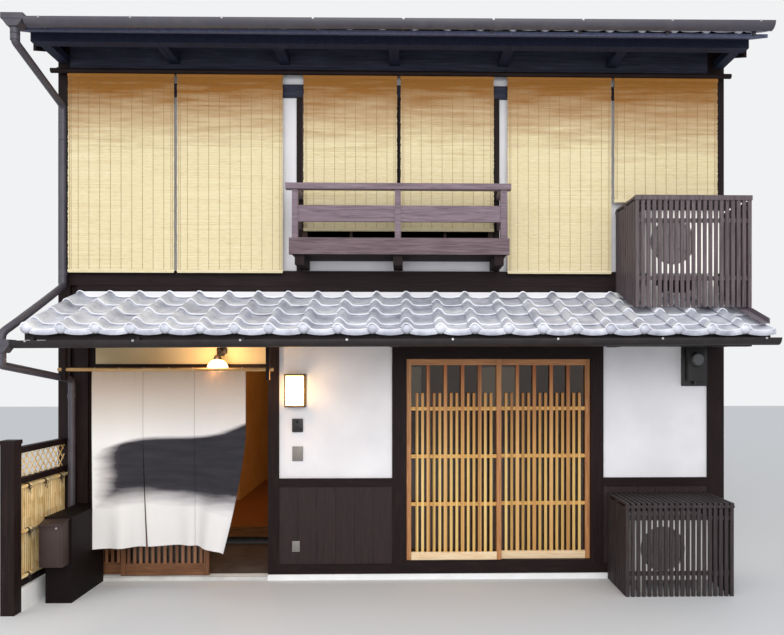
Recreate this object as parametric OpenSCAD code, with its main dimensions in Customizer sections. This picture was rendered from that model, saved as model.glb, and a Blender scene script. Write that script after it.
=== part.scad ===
/* [House] */
// Half-ken bay between post lines
half_bay = 985; // [970:1:1000]
// Width of a main post across the front
post_w = 106; // [100:1:112]
// Depth of the front wall's posts and beams, front to back
wall_t = 106; // [100:1:115]
// Half-ken bays from the front wall to the rear wall
depth_bays = 8; // [7:1:9]
// Thickness of the party walls
party_t = 100; // [90:1:120]
// Thickness of the rear wall
rear_t = 120; // [100:1:140]
// How far plaster lies back from the face of the posts
plaster_back = 18; // [10:1:24]
// Thickness of the plaster walls
plaster_t = 70; // [50:1:80]

/* [Levels] */
// Height of the concrete footing
footing_h = 49; // [40:1:60]
// Footing in front of the post face
footing_out = 15; // [10:1:25]
// Height of the ground sill on the footing
sill_h = 88; // [80:1:100]
// Height of the vertical-board wainscot
wainscot_h = 700; // [600:5:800]
// Height of the dado rail
dado_h = 75; // [60:1:90]
// Underside of the main beam between the storeys
beam_z = 2648; // [2620:1:2700]
// Height of the main beam
beam_h = 135; // [120:1:150]
// Plaster below the upper window
kick_h = 104; // [90:1:120]
// Height of the upper window's sill
upper_sill_h = 63; // [50:1:75]
// Clear height of the upper window
upper_window_h = 1399; // [1300:5:1450]
// Height of the rail over the upper window
rail_h = 113; // [100:1:125]
// Plaster between that rail and the head plate
frieze_h = 118; // [100:1:130]
// Height of the head plate under the roof, at its face
plate_h = 305; // [295:1:315]
// Top of the raised timber floor
floor_z = 200; // [150:5:220]
// Thickness of the floor boards
board_t = 40; // [25:1:50]
// Width of the hall up to the corner of its inner wall
hall_w = 855; // [830:5:880]
// Depth of the raised floor in front of the inner wall
hall_step = 1540; // [1500:5:1580]
// Front edge of the raised floor behind the wall face
hall_d = 1250; // [1100:10:1400]

/* [Entry] */
// Clear width of the entry
entry_w = 1545; // [1500:5:1580]
// Underside of the entry's head
entry_h = 1900; // [1850:5:1950]
// Height of the entry's head beam
head_h = 45; // [40:1:60]
// Height of the stone threshold
threshold_h = 30; // [20:1:40]
// Thickness of a sliding door
door_t = 30; // [26:1:32]
// How far the closed doors overlap
door_lap = 45; // [40:1:60]
// How far the front door stands open to the left
door_open = 528; // [400:1:600]
// Clearance round a sliding door
door_gap = 5; // [5:1:8]
// Running clearance under a door wheel
wheel_gap = 0.3; // [0.2:0.1:0.5]
// Depth of the groove in the entry's head
groove_d = 15; // [13:1:20]
// Spacing of the slats in a door
door_pitch = 53; // [50:1:60]
// Width of a door slat
door_slat = 27; // [24:1:32]

/* [Lattice window] */
// Width of the plaster bay between the entry and the window
bay_wall_w = 1019; // [990:1:1040]
// Width of the post between plaster and window
mid_post_w = 78; // [70:1:90]
// Width of the window's left jamb
jamb_l = 53; // [45:1:60]
// Width of the window's right jamb
jamb_r = 114; // [100:1:120]
// Clear width of the lattice window
window_w = 1678; // [1640:2:1700]
// Clear height of the lattice window
window_h = 1824; // [1780:2:1850]
// Height of the window's sill board
window_sill_h = 30; // [25:1:40]
// Height of the window's head
window_head_h = 119; // [100:1:130]
// Width of the lattice stiles
stile_w = 42; // [36:1:48]
// Height of the lattice top rail
lattice_top = 55; // [45:1:65]
// Height of the lattice bottom rail
lattice_bottom = 72; // [60:1:80]
// Height of a lattice cross rail
cross_h = 33; // [28:1:38]
// Width of a full-height lattice bar
bar_w = 32; // [28:1:34]
// Width of a short lattice bar
short_bar_w = 25; // [22:1:28]
// How far the short bars stop below the top of the window
short_drop = 308; // [280:1:330]

/* [Pent roof] */
// Rise of the pent roof for each unit of run
pent_pitch = 0.38; // [0.36:0.01:0.40]
// Reach of the pent roof's boards from the wall
pent_out = 880; // [850:5:900]
// Pent roof set in from the house's left face
pent_inset = 178; // [170:1:190]
// Column spacing of the tiles
tile_w = 263; // [260:1:268]
// Thickness of the roof boards
deck_t = 22; // [18:1:28]
// Height of the pent roof's rafters
rafter_h = 65; // [60:1:72]
// Width of a rafter
rafter_w = 45; // [40:1:50]
// Rise of the tile bed over the boards
tile_bed = 42; // [36:1:46]
// Radius of a tile roll
roll_r = 48; // [42:1:52]
// Radius of a bun cap on the eave
cap_r = 45; // [40:1:48]
// Height of the strip over the pent roof's tiles
flashing_h = 55; // [45:1:60]

/* [Main roof] */
// Rise of the main roof for each unit of run
roof_pitch = 0.42; // [0.40:0.01:0.44]
// Overhang of the main roof in front and behind
eave_out = 700; // [680:5:710]
// Overhang of the roof past the party walls
verge = 36; // [30:1:50]
// Distance of the eave purlin's middle from the wall
purlin_out = 418; // [400:2:440]
// Width of the purlins and their arms
purlin_w = 90; // [80:1:100]
// Underside of the upper eave purlin below the head plate's top
purlin_drop = 269; // [260:1:275]
// Width of the ridge
ridge_w = 250; // [220:5:280]
// Height of the ridge over the tiles
ridge_h = 190; // [160:5:220]

/* [Rainwater] */
// Radius of the half-round gutters
gutter_r = 57; // [52:1:60]
// Wall of the gutters
gutter_wall = 3; // [2:0.5:4]
// Fall of a gutter towards its outlet for each metre
gutter_fall = 5; // [0:0.5:5.5]
// Radius of the downpipes
pipe_r = 32; // [28:1:33]

/* [Balcony] */
// Reach of the balcony from the wall
balcony_out = 400; // [380:2:420]
// Length of the balcony
balcony_w = 1871; // [1850:1:1890]
// Height of the balcony's bottom plank
plank_h = 140; // [120:2:150]
// Top of the balcony's rail over the plank's underside
rail_top = 601; // [560:1:620]
// Height of the middle board
mid_board_h = 139; // [120:1:150]
// Underside of the middle board over the plank's underside
mid_board_z = 279; // [260:1:290]

/* [Blinds] */
// Thickness of a reed blind
blind_t = 8; // [6:1:10]
// Radius of the blinds' pole
blind_pole_r = 22; // [18:1:25]
// Distance of the pole's middle from the wall
blind_out = 70; // [60:1:75]
// Gap between two blinds side by side
blind_gap = 20; // [15:1:25]

/* [Covers] */
// Spacing of the cover slats
slat_pitch = 46; // [44:1:50]
// Width of a cover slat
slat_w = 29; // [26:1:32]
// Thickness of a cover slat
slat_t = 15; // [12:1:18]
// Width of the lower cover
cover_w = 908; // [880:2:930]
// Reach of the lower cover from the wall
low_cover_d = 538; // [520:2:560]
// Height of the lower cover
low_cover_h = 780; // [760:2:800]
// Distance of the lower cover from the house's right face
low_cover_inset = 165; // [150:5:180]
// Width of the upper cover
up_cover_w = 973; // [950:1:1000]
// Reach of the upper cover from the wall
up_cover_d = 560; // [540:2:580]
// Top of the upper cover
up_cover_z = 3345; // [3300:5:3400]
// Distance of the upper cover from the house's right face
cover_inset = 25; // [15:1:40]

/* [Fence] */
// Length of the side fence
fence_l = 890; // [850:5:950]
// Width of the fence post
fence_post_w = 105; // [95:1:115]
// Height of the fence post
fence_post_h = 1347; // [1300:1:1400]
// Height of the fence's kerb
kerb_h = 181; // [160:1:200]
// Height of the fence panel's top rail
fence_top = 1285; // [1260:1:1295]

/* [Entrance fittings] */
// Distance of the curtain pole from the wall
curtain_out = 250; // [230:2:270]
// Height of the curtain pole
curtain_z = 1895; // [1880:1:1910]
// Radius of the curtain pole
curtain_pole_r = 15; // [12:1:17]
// Width of the curtain
curtain_w = 1320; // [1280:5:1360]
// Drop of the curtain
curtain_drop = 1555; // [1500:5:1600]
// Radius of the globe lamp
globe_r = 90; // [80:1:100]

/* [Wall fittings] */
// Underside of the intercom
intercom_z = 1331; // [1300:1:1360]
// Width of the intercom
intercom_w = 96; // [90:1:100]
// Height of the intercom
intercom_h = 121; // [115:1:130]
// Underside of the plate below the intercom
plate_low_z = 1068; // [1050:1:1090]
// Underside of the socket in the wainscot
socket_z = 251; // [240:1:270]
// Underside of the meter's board
meter_z = 1745; // [1720:1:1780]
// Width of the meter's board
meter_w = 236; // [220:1:240]
// Height of the meter's board
meter_h = 380; // [360:1:400]

/* [Hidden] */
$fn = 48;

// A gap that lets curved faces rest without overlap
seat = 0.3;
front_bays = 6;
house_w = front_bays * half_bay + post_w;
house_d = depth_bays * half_bay;
right = house_w / 2;
left = -right;

// Levels that follow from the stacked members
sill_top = footing_h + sill_h;
dado_z = sill_top + wainscot_h;
dado_top = dado_z + dado_h;
window_z = sill_top + window_sill_h;
window_top = window_z + window_h;
beam_top = beam_z + beam_h;
upper_sill_z = beam_top + kick_h;
upper_window_z = upper_sill_z + upper_sill_h;
rail_z = upper_window_z + upper_window_h;
rail_top_z = rail_z + rail_h;
plate_z = rail_top_z + frieze_h;
plate_top = plate_z + plate_h;

// Places along the front, from the left
side_board_w = 58;
inner_post_w = 98;
entry_jamb_w = 62;
entry_x0 = left + post_w + side_board_w + inner_post_w + entry_jamb_w;
entry_x1 = entry_x0 + entry_w;
entry_post_w = 99;
wall_x0 = entry_x1 + entry_post_w;
wall_x1 = wall_x0 + bay_wall_w;
jamb_x0 = wall_x1 + mid_post_w;
window_x0 = jamb_x0 + jamb_l;
window_x1 = window_x0 + window_w;
jamb_x1 = window_x1 + jamb_r;
right_post_w = post_w + 47;
panel_x1 = right - right_post_w;

// Places along the upper storey
upper_mid = 35;
upper_open = 1739;
upper_post_w = 46;
centre_post_w = 25;
open_x0 = upper_mid - upper_open / 2;
open_x1 = upper_mid + upper_open / 2;

// How far the main beam stands in front of the posts
beam_proud = 12;

// Boards of the main roof, with their battens
main_deck_t = deck_t + 8;

// Roof lines: height of the underside at a distance y behind the wall face
function roof_z(y) = plate_top + roof_pitch * min(y, house_d - y);
function pent_z(y) = pent_top + pent_pitch * y;
ridge_y = house_d / 2;
pent_top = beam_z - flashing_h - 22 - tile_bed;
pent_x0 = left + pent_inset;
pent_columns = floor((house_w - pent_inset - 20) / tile_w);
pent_x1 = pent_x0 + pent_columns * tile_w + 15;
roof_x0 = left - verge;
roof_columns = floor((house_w + 2 * verge) / tile_w);
roof_x_start = -roof_columns * tile_w / 2;
// How deep the axis of a roll lies in its bed
roll_sink = 12;
// Place of the roll across its tile
roll_at = 0.17;

module block(lo, hi) { translate(lo) cube(hi - lo); }
module yz_bar(x0, x1, points) {
    translate([x0, 0, 0]) rotate([90, 0, 90]) linear_extrude(x1 - x0) polygon(points);
}
module rod(p, q, r) {
    d = q - p;
    translate(p) rotate([0, acos(d[2] / norm(d)), atan2(d[1], d[0])]) cylinder(h = norm(d), r = r);
}
elbow_ratio = 1.34;
// A run of pipe with a square elbow block at each bend
module pipe_run(points, r) {
    last = len(points) - 2;
    short = r * 0.8;
    elbow = r * elbow_ratio;
    for (i = [0 : last]) {
        d = (points[i + 1] - points[i]) / norm(points[i + 1] - points[i]) * short;
        rod(points[i] + (i > 0 ? d : 0 * d), points[i + 1] - (i < last ? d : 0 * d), r);
    }
    for (i = [1 : 1 : last]) translate(points[i]) cube(2 * elbow, center = true);
}

// Ground, floors and shell
module footings() {
    color("lightgray") {
        block([wall_x0, -footing_out, 0], [right, wall_t, footing_h]);
        block([entry_x1, -footing_out, 0], [wall_x0 - seat, wall_t, footing_h]);
        block([fence_x - 60, -fence_l + fence_post_w + seat, 0], [fence_x + 60, -seat, kerb_h]);
    }
}
doma_t = 20;
module doma_floor() {
    color("dimgray") block([left + party_t, wall_t, 0], [wall_x0, hall_d, doma_t]);
}
kamachi_h = 110;
kamachi_t = 120;
module timber_floors() {
    inner_y = house_d - rear_t;
    color("sienna") {
        block([left + party_t, hall_d, floor_z - board_t], [right - party_t, inner_y, floor_z]);
        block([wall_x0, wall_t, floor_z - board_t], [right - party_t, hall_d, floor_z]);
        block([left + party_t, hall_d, floor_z - kamachi_h],
              [wall_x0 + kamachi_t, hall_d + kamachi_t, floor_z]);
        block([wall_x0, wall_t, floor_z - kamachi_h],
              [wall_x0 + kamachi_t, hall_d + kamachi_t, floor_z]);
        block([left + party_t, wall_t, upper_floor_z - board_t],
              [right - party_t, inner_y, upper_floor_z]);
    }
}
upper_floor_z = beam_top - 40;
// A plastered partition beside the hall
inner_wall_t = 100;
inner_wall_x = left + party_t + hall_w;
inner_wall_y = hall_d + hall_step;
module inner_wall() {
    top = upper_floor_z - board_t;
    color("wheat") {
        block([left + party_t, inner_wall_y, floor_z], [inner_wall_x, inner_wall_y + inner_wall_t, top]);
        block([inner_wall_x - inner_wall_t, inner_wall_y, floor_z],
              [inner_wall_x, inner_wall_y + 2 * half_bay, top]);
    }
}
module party_walls() {
    outline = [[wall_t, 0], [house_d, 0], [house_d, plate_top], [ridge_y, roof_z(ridge_y)],
               [wall_t, roof_z(wall_t)]];
    color("gainsboro") for (x = [left, right - party_t]) yz_bar(x, x + party_t, outline);
}
rear_window_w = 850;
rear_window_h = 900;
rear_windows = [for (x = [-1, 0, 1], z = [floor_z + 850, beam_top + 700]) [x * 2 * half_bay, z]];
module rear_wall() {
    y0 = house_d - rear_t;
    color("whitesmoke") difference() {
        yz_bar(left + party_t, right - party_t,
               [[y0, 0], [house_d, 0], [house_d, plate_top], [y0, roof_z(y0)]]);
        for (w = rear_windows)
            block([w[0] - rear_window_w / 2, y0 - 1, w[1]],
                  [w[0] + rear_window_w / 2, house_d + 1, w[1] + rear_window_h]);
    }
}

// Front wall
glass_t = 6;
module window_glass() {
    color("lightblue", 0.4) {
        block([window_x0, 78, window_z], [window_x1, 78 + glass_t, window_top]);
        block([open_x0, 82, upper_window_z], [open_x1, 82 + glass_t, rail_z]);
        for (w = rear_windows)
            block([w[0] - rear_window_w / 2, house_d - rear_t / 2, w[1]],
                  [w[0] + rear_window_w / 2, house_d - rear_t / 2 + glass_t, w[1] + rear_window_h]);
    }
}
module front_posts() {
    roofed = [[0, 0], [wall_t, 0], [wall_t, roof_z(wall_t)], [0, plate_top]];
    color("#332a2c") {
        yz_bar(left, left + post_w, roofed);
        yz_bar(panel_x1, right, [[0, footing_h], [wall_t, footing_h], [wall_t, roof_z(wall_t)], [0, plate_top]]);
        union() {
            block([left + post_w, 30, 0], [entry_x0, wall_t, beam_z]);
            block([left + post_w + side_board_w, 0, 0], [entry_x0 - entry_jamb_w, wall_t, beam_z]);
        }
        block([entry_x1, 0, footing_h], [wall_x0, wall_t, beam_z]);
        block([wall_x1, 0, sill_top], [jamb_x0 + jamb_l, wall_t, beam_z]);
        block([window_x1, 0, sill_top], [jamb_x1, wall_t, beam_z]);
        for (x = [open_x0 - upper_post_w, open_x1])
            block([x, -10, beam_top], [x + upper_post_w, wall_t, rail_z]);
        block([upper_mid - centre_post_w / 2, -10, upper_window_z],
              [upper_mid + centre_post_w / 2, 4 - seat, rail_z]);
    }
}
module front_beams() {
    color("#332a2c") {
        block([left + post_w, -beam_proud, beam_z], [panel_x1, wall_t, beam_top]);
        block([left + post_w, -10, rail_z], [panel_x1, wall_t, rail_top_z]);
        yz_bar(left + post_w, panel_x1, [[0, plate_z], [wall_t, plate_z], [wall_t, roof_z(wall_t)], [0, plate_top]]);
        block([open_x0, -10, upper_sill_z], [open_x1, wall_t, upper_window_z]);
        block([wall_x0, 0, footing_h], [panel_x1, wall_t, sill_top]);
        block([window_x0, 0, sill_top], [window_x1, wall_t, window_z]);
        block([window_x0, 0, window_top], [window_x1, wall_t, window_top + window_head_h]);
        block([pent_x0, -8, beam_z - flashing_h], [pent_x1, 0, beam_z]);
        block([wall_x0, -4, dado_z], [wall_x1, wall_t, dado_top]);
        block([jamb_x1, -4, dado_z], [panel_x1, wall_t, dado_top]);
    }
}
module plaster_panel(x0, x1, z0, z1) {
    block([x0, plaster_back, z0], [x1, plaster_back + plaster_t, z1]);
}
module plaster_walls() {
    color("white") {
        plaster_panel(entry_x0, entry_x1, entry_h + head_h, beam_z);
        plaster_panel(wall_x0, wall_x1, dado_top, beam_z);
        plaster_panel(window_x0, window_x1, window_top + window_head_h, beam_z);
        plaster_panel(jamb_x1, panel_x1, dado_top, beam_z);
        plaster_panel(left + post_w, open_x0 - upper_post_w, beam_top, rail_z);
        plaster_panel(open_x0, open_x1, beam_top, upper_sill_z);
        plaster_panel(open_x1 + upper_post_w, panel_x1, beam_top, rail_z);
        plaster_panel(left + post_w, panel_x1, rail_top_z, plate_z);
    }
}
board_w = 171;
module wainscots() {
    color("#3a2c2e") for (span = [[wall_x0, wall_x1], [jamb_x1, panel_x1]]) {
        count = round((span[1] - span[0]) / board_w);
        pitch = (span[1] - span[0]) / count;
        difference() {
            block([span[0], 8, sill_top], [span[1], wall_t - 30, dado_z]);
            for (i = [1 : count - 1])
                block([span[0] + i * pitch - 2, 0, sill_top - 1], [span[0] + i * pitch + 2, 12, dado_z + 1]);
        }
    }
}

// Entry with two sliding doors on parallel tracks
track_front = 11 + door_gap;
track_rear = wall_t - 11 - door_gap - door_t;
door_rail_h = 5;
door_z0 = threshold_h + door_rail_h + 6;
door_z1 = entry_h + groove_d - 7;
door_w = (entry_w - 2 * door_gap + door_lap) / 2;
left_door_x = entry_x0 + door_gap;
right_door_x = entry_x1 - door_gap - door_w - door_open;
module entry_head() {
    color("#3d3335") difference() {
        block([entry_x0, 0, entry_h], [entry_x1, wall_t, entry_h + head_h]);
        for (y = [track_front, track_rear])
            block([entry_x0 - 1, y - door_gap, entry_h - 1],
                  [entry_x1 + 1, y + door_t + door_gap, entry_h + groove_d]);
    }
}
module entry_threshold() {
    color("silver") {
        block([entry_x0, 0, 0], [entry_x1 - seat, wall_t, threshold_h]);
        for (y = [track_front, track_rear])
            block([entry_x0, y + door_t / 2 - 4, threshold_h],
                  [entry_x1 - seat, y + door_t / 2 + 4, threshold_h + door_rail_h]);
    }
}
door_stile = 45;
door_top_rail = 62;
door_bottom_rail = 109;
door_mid_rail = 36;
wheel_r = 14;
module entry_door(x, y) {
    h = door_z1 - door_z0;
    inner = door_w - 2 * door_stile;
    slats = floor(inner / door_pitch);
    pitch = inner / slats;
    color("#8a5640") translate([x, y, door_z0]) {
        for (sx = [0, door_w - door_stile]) block([sx, 0, 0], [sx + door_stile, door_t, h]);
        block([0, 0, 0], [door_w, door_t, door_bottom_rail]);
        block([0, 0, h - door_top_rail], [door_w, door_t, h]);
        for (k = [1 : 3])
            block([door_stile, 6, k * h / 4 - door_mid_rail / 2],
                  [door_w - door_stile, door_t - 11, k * h / 4 + door_mid_rail / 2]);
        for (i = [0 : slats - 1])
            block([door_stile + (i + 0.5) * pitch - door_slat / 2, 2, door_bottom_rail - 1],
                  [door_stile + (i + 0.5) * pitch + door_slat / 2, 14, h - door_top_rail + 1]);
        for (wx = [120, door_w - 120])
            translate([wx, door_t / 2 - 3, wheel_r + door_rail_h + threshold_h + wheel_gap - door_z0])
                rotate([-90, 0, 0]) cylinder(h = 6, r = wheel_r);
    }
}
module entry_door_left() { entry_door(left_door_x, track_rear); }
module entry_door_right() { entry_door(right_door_x, track_front); }
pane_t = 4;
module door_pane(x, y) {
    color("lightblue", 0.5)
        block([x + door_stile, y + door_t - 11 + seat, door_z0 + door_bottom_rail],
              [x + door_w - door_stile, y + door_t - 11 + seat + pane_t, door_z1 - door_top_rail]);
}
module door_pane_left() { door_pane(left_door_x, track_rear); }
module door_pane_right() { door_pane(right_door_x, track_front); }

// Lattice window: bars in groups of two short and one full
bar_groups = 4;
lattice_lap = 46;
lattice_w = (window_w + lattice_lap) / 2;
lattice_t = 28;
lattice_front_y = 12;
module lattice(x, y) {
    h = window_h;
    inner = lattice_w - 2 * stile_w;
    bars = 3 * bar_groups + 2;
    pitch = inner / (bars + 1);
    color("#c08a50") translate([x, y, window_z]) {
        for (sx = [0, lattice_w - stile_w]) block([sx, 0, 0], [sx + stile_w, lattice_t, h]);
        block([0, 0, 0], [lattice_w, lattice_t, lattice_bottom]);
        block([0, 0, h - lattice_top], [lattice_w, lattice_t, h]);
        for (k = [1 : 3])
            block([stile_w, 12, lattice_bottom + (h - lattice_bottom) * k * 0.2475 - cross_h / 2],
                  [lattice_w - stile_w, lattice_t - 2, lattice_bottom + (h - lattice_bottom) * k * 0.2475 + cross_h / 2]);
        for (i = [1 : bars]) {
            full = i % 3 == 0;
            w = full ? bar_w : short_bar_w;
            block([stile_w + i * pitch - w / 2, 3, lattice_bottom - 1],
                  [stile_w + i * pitch + w / 2, 18, full ? h - lattice_top + 1 : h - short_drop]);
        }
    }
}
module lattice_left() { lattice(window_x0, lattice_front_y); }
module lattice_right() { lattice(window_x1 - lattice_w, lattice_front_y + lattice_t + 4); }
sash_t = 30;
module upper_sashes() {
    w = (upper_open + 40) / 2;
    color("#5a4238") for (i = [0, 1]) translate([i ? open_x1 - w : open_x0, i ? 40 : 4, upper_window_z]) difference() {
        block([0, 0, 0], [w, sash_t, upper_window_h]);
        for (a = [0, 1], b = [0, 1, 2])
            block([50 + a * (w - 75) / 2, -1, 60 + b * (upper_window_h - 90) / 3],
                  [50 + a * (w - 75) / 2 + (w - 125) / 2, sash_t + 1, 60 + (b + 1) * (upper_window_h - 90) / 3 - 30]);
    }
}

// Eaves
pent_purlin_y = -600;
pent_purlin_z = 2085;
module eave_frames() {
    arm_z = plate_top - purlin_drop + 24;
    purlin = function (y, under, bottom)
        [[y - purlin_w / 2, bottom], [y + purlin_w / 2, bottom],
         [y + purlin_w / 2, under(y + purlin_w / 2)], [y - purlin_w / 2, under(y - purlin_w / 2)]];
    main_under = function (y) roof_z(y);
    pent_under = function (y) pent_z(y) - deck_t - rafter_h;
    color("#262b3b") for (side = [0, 1]) union() {
        y = side ? house_d + purlin_out : -purlin_out;
        yz_bar(left, right, purlin(y, main_under, plate_top - purlin_drop));
        for (k = [-3 : 3])
            block([k * half_bay - purlin_w / 2, side ? house_d : -purlin_out, arm_z],
                  [k * half_bay + purlin_w / 2, side ? house_d + purlin_out : 0, arm_z + 68]);
    }
    color("#332a2c") union() {
        yz_bar(pent_x0 + 40, pent_x1 - 30, purlin(pent_purlin_y, pent_under, pent_purlin_z));
        for (k = [-2 : 3])
            block([k * half_bay - 40 - (k == 3 ? 40 : 0), pent_purlin_y, pent_purlin_z + 12],
                  [k * half_bay + 40 - (k == 3 ? 40 : 0), 0, pent_purlin_z + 100]);
        block([pent_x0 + 60, pent_purlin_y, pent_purlin_z + 12], [pent_x0 + 140, 0, pent_purlin_z + 100]);
    }
}
module pent_roof_deck() {
    inner = pent_x1 - pent_x0 - 2 * 50;
    count = round(inner / (half_bay / 2));
    color("#332a2c") {
        yz_bar(pent_x0, pent_x1, [[-pent_out, pent_z(-pent_out) - deck_t], [0, pent_z(0) - deck_t],
                                  [0, pent_z(0)], [-pent_out, pent_z(-pent_out)]]);
        for (i = [0 : count])
            translate([pent_x0 + 50 + i * inner / count - rafter_w / 2, 0, 0])
                yz_bar(0, rafter_w, [[-pent_out + 25, pent_z(25 - pent_out) - deck_t - rafter_h],
                                     [0, pent_z(0) - deck_t - rafter_h], [0, pent_z(0) - 1],
                                     [25 - pent_out, pent_z(25 - pent_out) - 1]]);
        block([pent_x0, -pent_out, pent_z(-pent_out) - deck_t - 50], [pent_x1, 25 - pent_out, pent_z(-pent_out) - 5]);
    }
}
// A bed with rolls as one profile, drawn up the slope
module wave_field(x0, x1, columns, first_x, run, slope) {
    rotate([90 + atan(slope), 0, 0]) mirror([0, 0, 1]) linear_extrude(run / cos(atan(slope))) {
        translate([x0, 0]) square([x1 - x0, tile_bed]);
        for (i = [0 : columns - 1]) intersection() {
            translate([first_x + (i + roll_at) * tile_w, tile_bed - roll_sink]) circle(r = roll_r);
            translate([first_x + (i - 0.5) * tile_w, tile_bed - 1]) square([tile_w * 1.4, roll_r * 2]);
        }
    }
}
// Hanging lip and round cap of each eave tile, as one flat band
module eave_band(columns, first_x, cap_z, lip_z) {
    radius = tile_w * 0.62;
    for (i = [0 : columns - 1]) {
        translate([first_x + (i + roll_at) * tile_w, cap_z]) circle(r = cap_r);
        translate([first_x + (i + 0.67) * tile_w, lip_z]) difference() {
            intersection() {
                translate([0, radius * 0.86]) circle(r = radius);
                translate([-tile_w * 0.42, -radius]) square([tile_w * 0.84, radius + 22]);
            }
            translate([0, radius * 1.14]) circle(r = radius);
        }
    }
}
eave_lip = 60;
module pent_roof_tiles() {
    edge = -pent_out - eave_lip;
    color("#8e9099") {
        translate([0, edge, pent_z(edge) + seat])
            wave_field(pent_x0, pent_x1, pent_columns, pent_x0, pent_out + eave_lip - 8, pent_pitch);
        translate([0, edge + 2, 0]) rotate([90, 0, 0]) linear_extrude(20)
            eave_band(pent_columns, pent_x0, pent_z(edge) + tile_bed - 8, pent_z(edge) - 4);
    }
}
module roof_deck() {
    d = main_deck_t;
    e = eave_out;
    color("#262b3b") yz_bar(left - verge, right + verge, [
        [-e, roof_z(-e)], [ridge_y, roof_z(ridge_y)], [house_d + e, roof_z(-e)],
        [house_d + e, roof_z(-e) + d], [ridge_y, roof_z(ridge_y) + d], [-e, roof_z(-e) + d]]);
}
module roof_tiles() {
    lip = -12;
    z = roof_z(-eave_out - lip) + main_deck_t + seat;
    color("#8e9099") for (side = [0, 1])
        translate([0, side ? house_d : 0, 0]) rotate([0, 0, side * 180])
            translate([0, -eave_out - lip, z])
                wave_field(left - verge, right + verge, roof_columns, roof_x_start, ridge_y + eave_out - 82, roof_pitch);
}
module ridge_tiles() {
    z = roof_z(ridge_y) + main_deck_t;
    w = ridge_w / 2;
    core = 60;
    low = z + tile_bed + 55 - w * roof_pitch;
    color("#7d808a") {
        yz_bar(left - verge, right + verge, [
            [ridge_y - w, low], [ridge_y - core, low], [ridge_y - core, z + seat - core * roof_pitch],
            [ridge_y, z + seat], [ridge_y + core, z + seat - core * roof_pitch], [ridge_y + core, low],
            [ridge_y + w, low],
            [ridge_y + w, z + ridge_h - 60], [ridge_y + w + 18, z + ridge_h - 60],
            [ridge_y + w + 18, z + ridge_h - 35], [ridge_y - w - 18, z + ridge_h - 35],
            [ridge_y - w - 18, z + ridge_h - 60], [ridge_y - w, z + ridge_h - 60]]);
        translate([left - verge, ridge_y, z + ridge_h - 40]) rotate([0, 90, 0])
            cylinder(h = house_w + 2 * verge, r = 82);
    }
}
barge_t = 24;
barge_h = 150;
barge_out = purlin_out - 60;
module barge_boards() {
    e = barge_out;
    color("#332a2c") for (x = [left - verge + 4, right + verge - 4 - barge_t])
        yz_bar(x, x + barge_t, [
            [-e, roof_z(-e) - barge_h], [ridge_y, roof_z(ridge_y) - barge_h],
            [house_d + e, roof_z(-e) - barge_h], [house_d + e, roof_z(-e) - seat],
            [ridge_y, roof_z(ridge_y) - seat], [-e, roof_z(-e) - seat]]);
}

// Rainwater goods
pent_gutter_y = -pent_out - 80;
pent_gutter_z = pent_z(-pent_out) - 82;
main_gutter_y = -eave_out - 14 - gutter_r;
main_gutter_z = roof_z(-eave_out) + 52;
strap_w = 20;
module gutter(x0, x1, y, z, pitch, edge_y, edge_z) {
    length = x1 - x0;
    translate([x0, y, z]) rotate([0, -atan(gutter_fall / 1000), 0]) rotate([90, 0, 90]) difference() {
        cylinder(h = length, r = gutter_r);
        translate([0, 0, gutter_wall]) cylinder(h = length - 2 * gutter_wall, r = gutter_r - gutter_wall);
        translate([-gutter_r - 1, 0, -1]) cube([2 * gutter_r + 2, gutter_r + 1, length + 2]);
    }
    count = round((length - 240) / pitch);
    for (i = [0 : count]) {
        x = x0 + 120 + i * (length - 240) / count - strap_w / 2;
        rim = z + (x - x0) * gutter_fall / 1000;
        block([x, y - gutter_r + 1, rim - 4], [x + strap_w, y + gutter_r - 1, rim]);
        block([x, y + gutter_r - 12, min(rim - 4, edge_z)], [x + strap_w, edge_y, max(rim - 30, edge_z) + 6]);
    }
}
pent_strap = 778;
main_strap = 723;
module gutters() {
    color("#4f4547") {
        gutter(hopper_x + hopper_w / 2 + seat, right - 18, pent_gutter_y, pent_gutter_z, pent_strap,
               -pent_out, pent_z(-pent_out) - 60);
        gutter(hopper_x + hopper_w / 2 + seat, right + verge, main_gutter_y, main_gutter_z, main_strap,
               -eave_out, roof_z(-eave_out) + 12);
        translate([0, house_d, 0]) mirror([0, 1, 0])
            gutter(left - verge, right + verge, main_gutter_y, main_gutter_z, main_strap,
                   -eave_out, roof_z(-eave_out) + 12);
    }
}
hopper_x = left + 45;
hopper_w = 174;
hopper_d = 104;
hopper_h = 100;
module hopper(x, y, z) {
    w = hopper_w / 2;
    d = hopper_d / 2;
    translate([x, y, z]) {
        difference() {
            block([-w, -d, -hopper_h * 0.45], [w, d, 0]);
            block([-w + 4, -d + 4, -hopper_h * 0.45 + 4], [w - 4, d - 4, 1]);
        }
        rotate([90, 0, 0]) linear_extrude(2 * d - 8, center = true)
            polygon([[-w + 4, -hopper_h * 0.45 + 1], [w - 4, -hopper_h * 0.45 + 1],
                     [pipe_r + 8, -hopper_h], [-pipe_r - 8, -hopper_h]]);
        translate([0, 0, -hopper_h - 45]) cylinder(h = 60, r = pipe_r + 4);
    }
}
module rain_hoppers() {
    color("#4f4547") {
        hopper(hopper_x, pent_gutter_y, pent_gutter_z + 8);
        hopper(hopper_x, main_gutter_y, main_gutter_z + 30);
    }
}
pipe_x = left + 70;
low_pipe_x = left + post_w + 40;
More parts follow.
